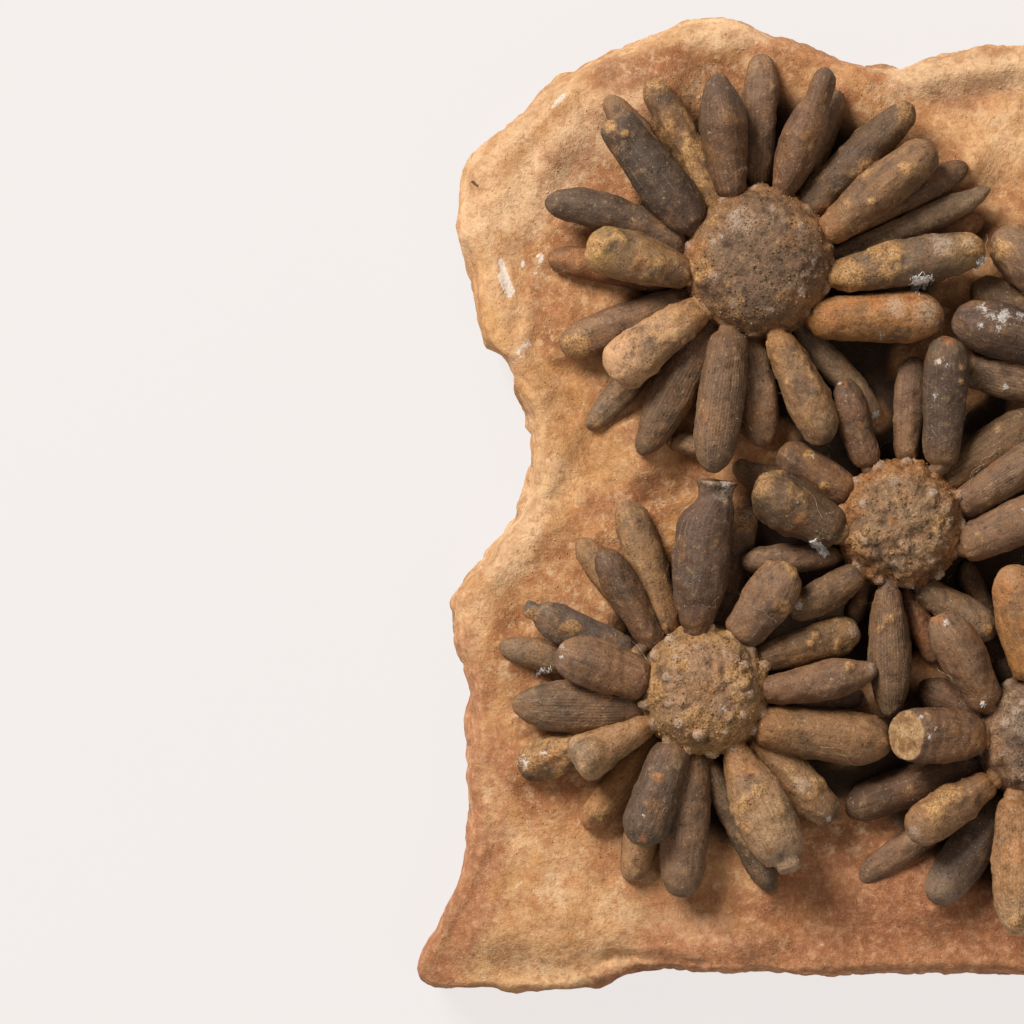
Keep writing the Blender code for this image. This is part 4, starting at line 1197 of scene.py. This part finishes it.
def fossil(name, roughness, streaky, grainy):
    """Stained calcite. Streaky is how much the skin map's streaks show, grainy the pitting."""
    material, sheet, place = stone(name, roughness)
    tone, ribs, knob, broken = (sheet.attribute(name, colour=name == "tone")
                                for name in ("tone", "ribs", "knob", "broken"))
    # Size in mm, detail, roughness and seed of each noise, from the widest down.
    wide, lumps, clouds, pitted, specks, fine = (sheet.noise(place, *row) for row in rows(f"""
        7 4 0.55 4, {LUMP} 2.5 0.6 {SEED}, 2.4 6 0.68 1, 0.7 1 0.55 31, 0.55 1 0.55 17,
        0.45 3 0.7 6"""))
    skin = sheet.node("ShaderNodeUVMap", {"uv_map": "skin"})
    stretched = sheet.node("ShaderNodeMapping", {}, {"Vector": skin, "Scale": (150, 8, 1)})
    streaks = sheet.node("ShaderNodeTexNoise", {}, {"Vector": stretched, "Scale": 1.0,
                                                    "Detail": 4.0, "Roughness": 0.6})
    rib = (sheet.attribute("turn") * sheet.attribute("rib_count")).cosine()
    streak_part = (ribs * 3.0 + 0.22 * streaky) * (1 - broken)
    pits = pitted.between(0.66, 0.76)
    rust = sheet.stain("rust", 0.38, 0.95, (wide, 1.0), (clouds, 1.3))
    crust = sheet.stain("crust", 0.35, 0.75, (lumps, 1.6), (clouds, 0.8))
    soot = sheet.stain("soot", 0.42, 0.85, (clouds, 1.9))
    low_shade = sheet.stain("low_shade", 0.1, 0.8, (clouds, 0.5))
    pale = sheet.stain(sheet.attribute("pale") + knob * 0.3, 0.45, 0.95,
                       (fine, 1.3), (clouds, 1.2))
    white = sheet.stain(sheet.attribute("white") * 0.95, 0.45, 0.95, (fine, 1.8), (clouds, 1.8))
    sandy = sheet.mix(fine.between(0.38, 0.62) * 0.6 + clouds.between(0.4, 0.6) * 0.4,
                      "#85582f", "#d0a064")
    base = sheet.coats(
        tone,
        (wide.between(0.50, 0.35) * 0.5, "#4b3a2d"),
        (wide.between(0.52, 0.67) * 0.45, "#98683a"),
        (clouds.between(0.49, 0.33) * (0.55 + 0.2 * grainy), "#35271c"),
        (clouds.between(0.53, 0.70) * 0.48, "#b08b60"),
        (streaks.between(0.49, 0.33) * streak_part, "#2e2119"),
        (streaks.between(0.52, 0.70) * streak_part * 0.8, "#ab8d6c"),
        (rib.between(0.2, -0.9) * ribs * 3.8, "#3a2a1f"),
        (rib.between(0.5, 1.0) * ribs * 2.5, "#a88a6a"),
        (rust * 0.62, sheet.mix(clouds.between(0.35, 0.62), "#7c4722", "#c07e47")),
        (crust * 0.75, sandy),
        (soot * 0.68, "#322822"),
        (knob * 0.4, "#b8957e"),
        (pale * 0.5, "#bba48b"),
        (broken * 0.9, sheet.mix(clouds.between(0.40, 0.62), "#8f6840", "#c19a6c")),
        (fine.between(0.52, 0.36) * (0.4 + 0.05 * grainy), "#3b2c20"),
        (pits * 0.3, "#241b14"),
        (specks.between(0.62, 0.78) * 0.40, "#cdb490"),
        # painted shade low down near the tests
        (low_shade * 0.82, "#281b12"),
        (white * 0.68, "#ddd5cb"))
    relief = (clouds * (0.9 + 0.5 * grainy) + fine * (0.32 + 0.12 * grainy) - pits * 0.3
              + wide * 0.8 + streaks * streak_part * 0.4 + rib * ribs * 0.4)
    paint(sheet, base, relief, 0.0006)
    print(f"{name}: {len(material.node_tree.nodes)} nodes")
    return material


spine_finish = fossil("fossil_spine", 0.62, 1.0, 0.0)
test_finish = fossil("fossil_test", 0.8, 0.0, 1.0)

# %% Spines in the scene
def dress_spines(name, urchin, lump_depth):
    """Lofts and weathers the spines of an urchin, and puts them in the scene."""
    skin = worked(weather, spine_group(urchin), Lump_size=LUMP * MM, Lump_depth=lump_depth,
                  Grain_size=0.0014, Grain_depth=0.00014, Crust_depth=0.0004, Seed=SEED,
                  Material=spine_finish)
    piece(name, skin, "fossil_calcite", urchin.name)


for urchin in URCHINS:
    dress_spines(urchin.name + "_spines", urchin, 0.0008)

# %% [markdown]
# ## Tests
# A test is the urchin's shell: a low dome. Where each spine once turned there is a knob, and
# between the knobs the shell is covered with fine grains. The dome is turned like a pot, from a
# ring of points at each height. The knobs stand at even steps round the edge, which is a rule,
# so a second Geometry Nodes tree sets them: it lays out a circle of points and lets every part
# of the dome rise by how near it is to one of them. Craters and single bumps are listed one by one.

# %% Table of tests
Test = namedtuple("Test", "tone rim crust rust pale knobs ring knob_half knob_high lump dots")
# A mark or bump on a test: its kind, its middle in mm, half its width and its strength.
TESTS = {
    "urchin_upper_left": Test("#806249", "#8a6038", 0.27, 0.32, 0.42, 15, 0.94, 1.8, 0.5, 0.9, """
        raise -33 70.4 1.6 0.9, rust -47 55.5 5 0.6, crust -46.5 52 4 0.7, soot -34 46 5 0.42,
        rust -22 44 4 0.7, pale -38 62 5.5 0.75, soot -33 66 0.7 0.8, soot -30 54.5 3.2 0.45,
        sink -24 51.6 1.3 0.5, soot -24 51.6 1 0.8, raise -18.2 56.4 1.3 0.9,
        raise -46.5 49 1.2 0.6, white -41.8 58.6 0.9 0.7, crust -42 48 3 0.6,
        crust -26 62 3.5 0.5, soot -41 54 2.4 0.4"""),
    "urchin_centre": Test("#92704f", "#96602c", 0.3, 0.4, 0.48, 13, 0.94, 1.9, 0.9, 1.9, """
        sink -8.2 -13 2.2 1, soot -8.2 -13 2 0.6, sink -5 -15.6 2.4 1, soot -5 -15.4 1.6 0.5,
        rust -4.5 -3.5 1.8 0.9, raise 2.2 7.6 2 0.8, raise 9.6 1.4 1.8 0.8, rust -13.5 -1.5 4 0.9,
        crust 5.5 -4.5 4 0.7, raise 0 -4 2.4 0.8, raise -5.4 1.6 1.8 0.8, raise 4 1 1.8 0.7,
        raise -1.8 -9.4 1.8 0.8, raise 4.6 -9.2 1.7 0.7, raise -9.4 -5.6 1.7 0.7,
        pale -1 -2 6 0.6"""),
    "urchin_lower_left": Test("#9e7857", "#ab7d45", 0.3, 0.28, 0.46, 17, 0.93, 1.8, 1.3, 1.2, """
        crust -47 -48 4.6 1, crust -41 -50 6 1, crust -38.2 -37 4.2 1, crust -38.6 -42.5 2.6 0.8,
        crust -56.6 -41 3.4 1, crust -50.5 -35.6 2.4 0.9, crust -49.8 -46.8 2.6 0.7,
        raise -43.6 -38.6 2.4 0.6, sink -44.2 -38.6 1.3 0.8, white -41.6 -44.6 0.8 0.9,
        soot -39.6 -44.4 2 0.5, raise -51.6 -38 1.3 0.9, raise -50.6 -43.4 1.3 0.8,
        raise -40.6 -46.6 1.4 1, raise -38.8 -33.8 1.3 0.8, raise -45.4 -33.2 1.2 0.8,
        raise -36.6 -39.2 1.3 0.8, raise -46.6 -50.4 1.3 0.8"""),
    "urchin_lower_right": Test("#80644e", "#79593f", 0.12, 0.14, 0.44, 15, 0.96, 1.8, 0.9, 0.7, """
        raise 24.6 -48 4.6 1.2, sink 25.2 -48 2.9 2.4, soot 25.2 -48 2.3 0.7,
        raise 25.2 -48.2 1 1.2, pale 22.6 -45.4 1.8 0.9, rust 26.5 -44 1.6 0.5,
        raise 18.6 -56 1.5 0.8, raise 22.4 -59.6 1.5 0.8, raise 17.8 -49.4 1.3 0.7,
        pale 20.6 -47.4 1.2 0.8, raise 29 -60.6 1.5 0.7, raise 35 -55 1.5 0.8,
        raise 35.6 -46.6 1.4 0.8, crust 31 -55 3 0.6"""),
    "urchin_upper_right": Test("#84694f", "#80603e", 0.3, 0.3, 0.42, 15, 0.97, 1.7, 1, 0.7, """
        raise 50 31 3 0.6, sink 50 31 1.4 1, crust 44 36 4 0.8, raise 56 34 1.5 0.8,
        raise 45 26 1.4 0.8, pale 54 27 3 0.7"""),
    "urchin_right": Test("#7d6450", "#7a5c3e", 0.26, 0.36, 0.42, 15, 0.97, 1.7, 1.1, 0.8, """
        raise 76.5 -23.5 2.8 0.6, sink 76.5 -23.5 1.3 0.9, rust 82 -27 4 0.8,
        raise 70.6 -20.6 1.4 0.8, raise 80 -18.6 1.4 0.8, pale 73 -29 3 0.7"""),
}
print(sum(len(rows(test.dots)) for test in TESTS.values()), "marks and bumps on the tests")

# %% [markdown]
# The dome is rings of points from the top down, closed by a cap and a floor. The bumps and
# craters move its points outwards and inwards, and the same soft dots colour it.

# %% Dome
DOME_MESH = 84, 190


def dome(urchin, test):
    """The smooth dome of a test with its listed bumps and stored colours."""
    rows_down, sides = DOME_MESH
    tall = urchin.radius * TEST_FLATNESS
    lowest = max(BED_Z - 1.0 - TEST_MIDDLE_Z, -0.97 * tall)
    down = np.linspace(0, math.acos(lowest / tall), rows_down + 1)[1:]
    turn = 2 * math.pi * np.arange(sides) / sides
    reach = urchin.radius * np.sin(down) ** 0.72
    ring = np.stack([np.outer(reach, np.cos(turn)) + urchin.x,
                     np.outer(reach, np.sin(turn)) + urchin.y,
                     np.outer(TEST_MIDDLE_Z + tall * np.cos(down), np.ones(sides))], -1)
    points = np.vstack([ring.reshape(-1, 3),
                        [[urchin.x, urchin.y, TEST_MIDDLE_Z + tall]]])
    grid = np.arange(rows_down * sides).reshape(rows_down, sides)
    cap = np.column_stack([np.full(sides, rows_down * sides), grid[0], np.roll(grid[0], -1)])
    outward = points - (urchin.x, urchin.y, TEST_MIDDLE_Z)
    outward /= np.linalg.norm(outward, axis=1)[:, None]
    upper = step(points[:, 2], TEST_MIDDLE_Z - 2, TEST_MIDDLE_Z + 2)
    kinds = {k: np.full(len(points), v) for k, v in (
        ("crust", test.crust), ("rust", test.rust), ("pale", test.pale), ("soot", 0.0),
        ("white", 0.0))}
    rise = np.zeros(len(points))
    for kind, x, y, half, strength in rows(test.dots):
        share = step(far_from(points, x, y), half * 1.3, half * 0.2) * upper * strength
        rise += {"raise": 1, "sink": -1}.get(kind, 0) * share
        if kind != "sink":
            name, part = ("pale", 0.7) if kind == "raise" else (kind, 1)
            kinds[name] = np.maximum(kinds[name], part * share)
    points = points + outward * rise[:, None]
    mesh = mesh_of(urchin.name, points, bands(grid), cap, grid[-1][::-1][None, :])
    edge = step(far_from(points, urchin.x, urchin.y), urchin.radius * 0.55,
                urchin.radius)[:, None]
    kinds["tone"] = colour(test.tone) * (1 - edge) + np.array(colour(test.rim)) * edge
    # Painted shade: the lower side of the dome is darker.
    kinds["low_shade"] = step(points[:, 2], TEST_MIDDLE_Z + 1, TEST_MIDDLE_Z - 6)
    kinds["rough"], kinds["grit"] = np.ones(len(points)), upper
    for kind, values in kinds.items():
        store(mesh, kind, values)
    mesh.uv_layers.new(name="skin")
    return mesh


print(len(TESTS), "tests, each of", DOME_MESH[0] * DOME_MESH[1], "points")

# %% Knob tree
knobs = new_tree("knobs", [
    ("Middle", "Vector"), ("Knobs", "Int"), ("Ring radius", "Float"),
    ("Knob half width", "Float"), ("Knob height", "Float"), ("Stagger", "Float"),
    ("Seed", "Int"), ("Material", "Material")])
have = given(knobs)
circle = knobs.node("GeometryNodeMeshCircle", {}, {"Vertices": have["Knobs"],
                                                   "Radius": have["Ring radius"]})
low, high = (knobs.scaled((way, way, way), have["Stagger"]) for way in (-1.0, 1.0))
jitter = knobs.node("FunctionNodeRandomValue", {"data_type": "FLOAT_VECTOR"},
                    {"Min": low, "Max": high, "Seed": have["Seed"]})
shift = knobs.node("ShaderNodeVectorMath", {"operation": "ADD"}, {0: have["Middle"], 1: jitter})
stations = knobs.node("GeometryNodeSetPosition", {}, {"Geometry": circle, "Offset": shift})
near = knobs.node("GeometryNodeProximity", {"target_element": "POINTS"},
                  {"Target": stations}, out=1)
knob = (1 - near / have["Knob half width"]).between(0.0, 0.6)
marked = knobs.node("GeometryNodeStoreNamedAttribute", {"data_type": "FLOAT"}, {
    "Geometry": have["Geometry"], "Name": "knob", "Value": knob + stored(knobs, "knob")})
offset = knobs.scaled(knobs.node("GeometryNodeInputNormal"), knob * have["Knob height"])
moved = knobs.node("GeometryNodeSetPosition", {}, {"Geometry": marked, "Offset": offset})
hand_over(knobs, moved, have["Material"])

# %% [markdown]
# ## Grains
# The fine grains on a test and the loose sand on the slab are the same job: scatter points
# over the faces, set a small ball on each, half sunk, and make it real mesh. The tree scatters
# by a fixed seed and by a stored value `grit`, which keeps the grains off undersides. Each
# ball has only 28 faces, because there are thousands of them. The input `Keep` says
# whether the surface itself stays in the mesh (a test) or is left out (sand on the slab).

# %% Grain tree
grit = new_tree("grit", [("Per square metre", "Float"), ("Smallest", "Float"),
                         ("Largest", "Float"), ("Keep", "Bool"), ("Seed", "Int"),
                         ("Material", "Material")])
have = given(grit)
scattered = grit.tree.nodes.new("GeometryNodeDistributePointsOnFaces")
density = have["Per square metre"] * stored(grit, "grit")
for wire, label in ((have["Geometry"], "Mesh"), (density, "Density"), (have["Seed"], "Seed")):
    grit.tree.links.new(wire.socket, scattered.inputs[label])
ball = grit.node("GeometryNodeMeshUVSphere", {}, {"Segments": 7, "Rings": 4, "Radius": 1.0})
scale = grit.node("FunctionNodeRandomValue", {"data_type": "FLOAT"},
                  {"Min_001": have["Smallest"], "Max_001": have["Largest"],
                   "Seed": have["Seed"]}, out=1)
grains = grit.node("GeometryNodeInstanceOnPoints", {}, {
    "Points": Wire(grit, scattered.outputs["Points"]), "Instance": ball,
    "Rotation": Wire(grit, scattered.outputs["Rotation"]), "Scale": scale})
kept = grit.node("GeometryNodeSwitch", {"input_type": "GEOMETRY"},
                 {"Switch": have["Keep"], "True": have["Geometry"]})
both = grit.tree.nodes.new("GeometryNodeJoinGeometry")
for wire in (kept, grains):
    grit.tree.links.new(wire.socket, both.inputs[0])
hand_over(grit, Wire(grit, both.outputs[0]), have["Material"])

# %% Tests in the scene
INNER_RING, FEWER_KNOBS, INNER_SHARE = 0.66, 6, 0.5
for number, urchin in enumerate(URCHINS):
    test = TESTS[urchin.name]
    shell = dome(urchin, test)
    for ring, count, share in ((test.ring, test.knobs, 1.0),
                               (INNER_RING, test.knobs - FEWER_KNOBS, INNER_SHARE)):
        level = TEST_MIDDLE_Z + urchin.radius * TEST_FLATNESS * math.sqrt(1 - ring ** 2.8)
        shell = worked(knobs, shell, Middle=(urchin.x * MM, urchin.y * MM, level * MM),
                       Knobs=count, Ring_radius=ring * urchin.radius * MM,
                       Knob_half_width=test.knob_half * (0.6 + 0.4 * share) * MM,
                       Knob_height=test.knob_high * share * MM, Stagger=0.0006,
                       Seed=number, Material=test_finish)
    shell = worked(weather, shell, Lump_size=0.0034, Lump_depth=test.lump * MM,
                   Grain_size=0.0013, Grain_depth=0.00016, Crust_depth=0.00025,
                   Seed=SEED + number, Material=test_finish)
    shell = worked(grit, shell, Per_square_metre=330000.0, Smallest=0.00010, Largest=0.00036,
                   Keep=True, Seed=number, Material=test_finish)
    piece(urchin.name + "_test", shell, "fossil_calcite", urchin.name)

# %% Sand on the slab
sand = worked(grit, slab_mesh.copy(), Per_square_metre=90000.0, Smallest=0.00008,
              Largest=0.00024, Keep=False, Seed=4, Material=limestone)
piece("slab_sand", sand, "limestone", "matrix_slab")

# %% [markdown]
# ## Broken bits of spine
# Three short pieces of spine from another animal stick out of the rock. They are lofted like
# the rest, each as a little urchin of its own with no test.

# %% Bits of spine
# The spot that it points away from, and then the same columns as in the spine table.
BITS = """
    -53.2 14.4 -45.4 12.6 -52.4 14.2 5 27 26.4 blob pearl,
    65.2 83.6 82 76 66 84 8 24.4 24 cut ribbed, 88.8 -81.6 76 -90 88 -82 7 24.4 24 club ash"""
for number, (x, y, *spine) in enumerate(rows(BITS)):
    dress_spines(f"spine_bit_{number}", Urchin("matrix_slab", x, y, 0.0, [Spine(*spine)]), 0.0006)

# %% [markdown]
# ## Lint and hairs
# The plate has stood in the open: white lint hangs between some spines, and fine hairs lie
# across the gaps. A hair is a line of points laid on the surface from above, and then a
# Geometry Nodes tree sweeps a tiny square tube along it. Only the line differs from hair to
# hair.

# %% Fibre tree
fibres = new_tree("fibres", [("Radius", "Float"), ("Material", "Material")])
have = given(fibres)
line = fibres.node("GeometryNodeMeshToCurve", {}, {"Mesh": have["Geometry"]})
ring = fibres.node("GeometryNodeCurvePrimitiveCircle", {},
                   {"Resolution": 4, "Radius": have["Radius"]})
tube = fibres.node("GeometryNodeCurveToMesh", {},
                   {"Curve": line, "Profile Curve": ring, "Fill Caps": True})
hand_over(fibres, tube, have["Material"])

# %% Where the fibres lie
FUZZ_EACH, STRAND_POINTS = 60, 18
# A hair: its two ends, and how far it curls sideways.
HAIRS = rows("""
    -39 19 -35 16.5 0.3, 14 23 12 18 0.4, 12.5 3.8 16 9 0.5, 4 16.5 5.3 14.5 0.3,
    17.3 60 16 55 0.5, -13 60 -16 66 0.4, 6 -36 12 -45 0.8, -20 -53 -12 -58 0.7, -24 4 -20 -3 0.6,
    13 6 19 12 0.6, -62 -30 -57 -36 0.5, -36 -22 -30 -26 0.5""")
# A tuft: its two ends, how many fibres it has and how far they spread.
TUFTS = """
    0 49 4 48.5 60 1, 0.4 49.6 1.5 46.7 34 0.7, 14.5 52.3 17.5 54.5 34 0.5,
    -22.5 -8 -18.5 -11.5 60 0.7, -83 -38 -79 -37 14 0.4, 14.5 -43.5 15.4 -44.2 10 0.5"""
loose = np.random.default_rng(21)
fuzz = []
for urchin in URCHINS:
    for _ in range(FUZZ_EACH):
        swing, far = loose.uniform(0, 2 * math.pi), urchin.radius + loose.uniform(0.5, 16)
        start = np.array([urchin.x + far * math.cos(swing), urchin.y + far * math.sin(swing)])
        end = start + loose.normal(0, 1.9, 2)
        fuzz.append((*start, *end, loose.uniform(0.2, 0.9)))
lint = []
for x1, y1, x2, y2, count, spread in rows(TUFTS):
    for _ in range(int(count)):
        ends = np.array([(x1, y1), (x2, y2)]) + loose.normal(0, spread / 2, (2, 2))
        start, end = (ends[0] + (ends[1] - ends[0]) * p for p in np.sort(loose.random(2)))
        lint.append((*start, *end, loose.uniform(0.3, 1.0)))
print(len(HAIRS), "hairs,", len(fuzz), "bits of fuzz and", len(lint), "fibres of lint")

# %% Lay the fibres down
bpy.context.view_layer.update()
depsgraph = bpy.context.evaluated_depsgraph_get()
grounds = [BVHTree.FromObject(o, depsgraph) for o in scene.objects
           if o.name == "slab" or o.name.endswith(("_spines", "_test"))]


def top_of(x, y):
    """The height of the uppermost surface at a place, in mm."""
    hits = [g.ray_cast(Vector((x * MM, y * MM, 0.1)), Vector((0, 0, -1)))[0] for g in grounds]
    return max((1000 * hit.z for hit in hits if hit), default=BED_Z)


def strands_mesh(name, strands, lift):
    """Lines of points, laid over the surface so that they bridge narrow gaps."""
    points, edges = [], []
    part = np.linspace(0, 1, STRAND_POINTS)
    for x1, y1, x2, y2, curl in strands:
        way = np.array([x2 - x1, y2 - y1])
        across = np.array([-way[1], way[0]]) / np.linalg.norm(way)
        swing = curl * (np.sin(math.pi * part) + 0.4 * np.sin(
            2 * math.pi * (part * loose.uniform(1, 3) + loose.random())))
        plan = (x1, y1) + part[:, None] * way + swing[:, None] * across
        level = np.array([top_of(x, y) for x, y in plan])
        high = np.maximum(level, 0.6 * level + 0.4 * level.max())
        high = np.maximum(np.convolve(np.pad(high, 2, "edge"), np.ones(5) / 5, "valid"), level)
        edges += [(len(points) + i, len(points) + i + 1) for i in range(STRAND_POINTS - 1)]
        points += [(x * MM, y * MM, (z + lift) * MM) for (x, y), z in zip(plan, high)]
    mesh = bpy.data.meshes.new(name)
    mesh.from_pydata(points, edges, [])
    return mesh


def fibre_finish(name, dark, light):
    """Dusty fibre: two close tones mixed by noise."""
    material, sheet, place = stone(name, 0.85)
    dust = sheet.noise(place, 0.8, detail=3, seed=8)
    paint(sheet, sheet.mix(dust.between(0.35, 0.65), dark, light), dust, 0.00002)
    return material


for name, strands, radius, dark, light in (
        ("hairs", HAIRS, 0.045, "#8f7a5e", "#c9b693"), ("fuzz", fuzz, 0.022, "#86705a", "#bba88b"),
        ("lint", lint, 0.065, "#cfc8be", "#faf6f0")):
    mesh = worked(fibres, strands_mesh(name, strands, radius + 0.03), Radius=radius * MM,
                  Material=fibre_finish(name, dark, light))
    piece(name, mesh, "limestone")

# %% [markdown]
# ## The floor, and the size
# The floor is a plain pale sheet just under the slab, marked as stage because it is no part of
# the object. Last, the size of the dressed model is printed.

# %% Floor and finish
floor = bpy.data.objects.new("floor", mesh_of(
    "floor", [(-4000, -4000, -0.2), (4000, -4000, -0.2), (4000, 4000, -0.2),
              (-4000, 4000, -0.2)], np.array([[0, 1, 2, 3]])))
scene.collection.objects.link(floor)
paper, sheet, place = stone("paper", 0.95)
fleck = sheet.noise(place, 60, detail=2)
paint(sheet, sheet.mix(fleck, "#4c4a4a", "#4e4c4c"), fleck, 0.0001)
glow = paper.node_tree.nodes["Principled BSDF"]
glow.inputs["Emission Color"].default_value = (1.0, 0.955, 0.93, 1)
glow.inputs["Emission Strength"].default_value = 0.80
floor.data.materials.append(paper)
floor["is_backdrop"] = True
low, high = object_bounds()
print("dressed size in mm:", [round(1000 * (b - a), 1) for a, b in zip(low, high)])
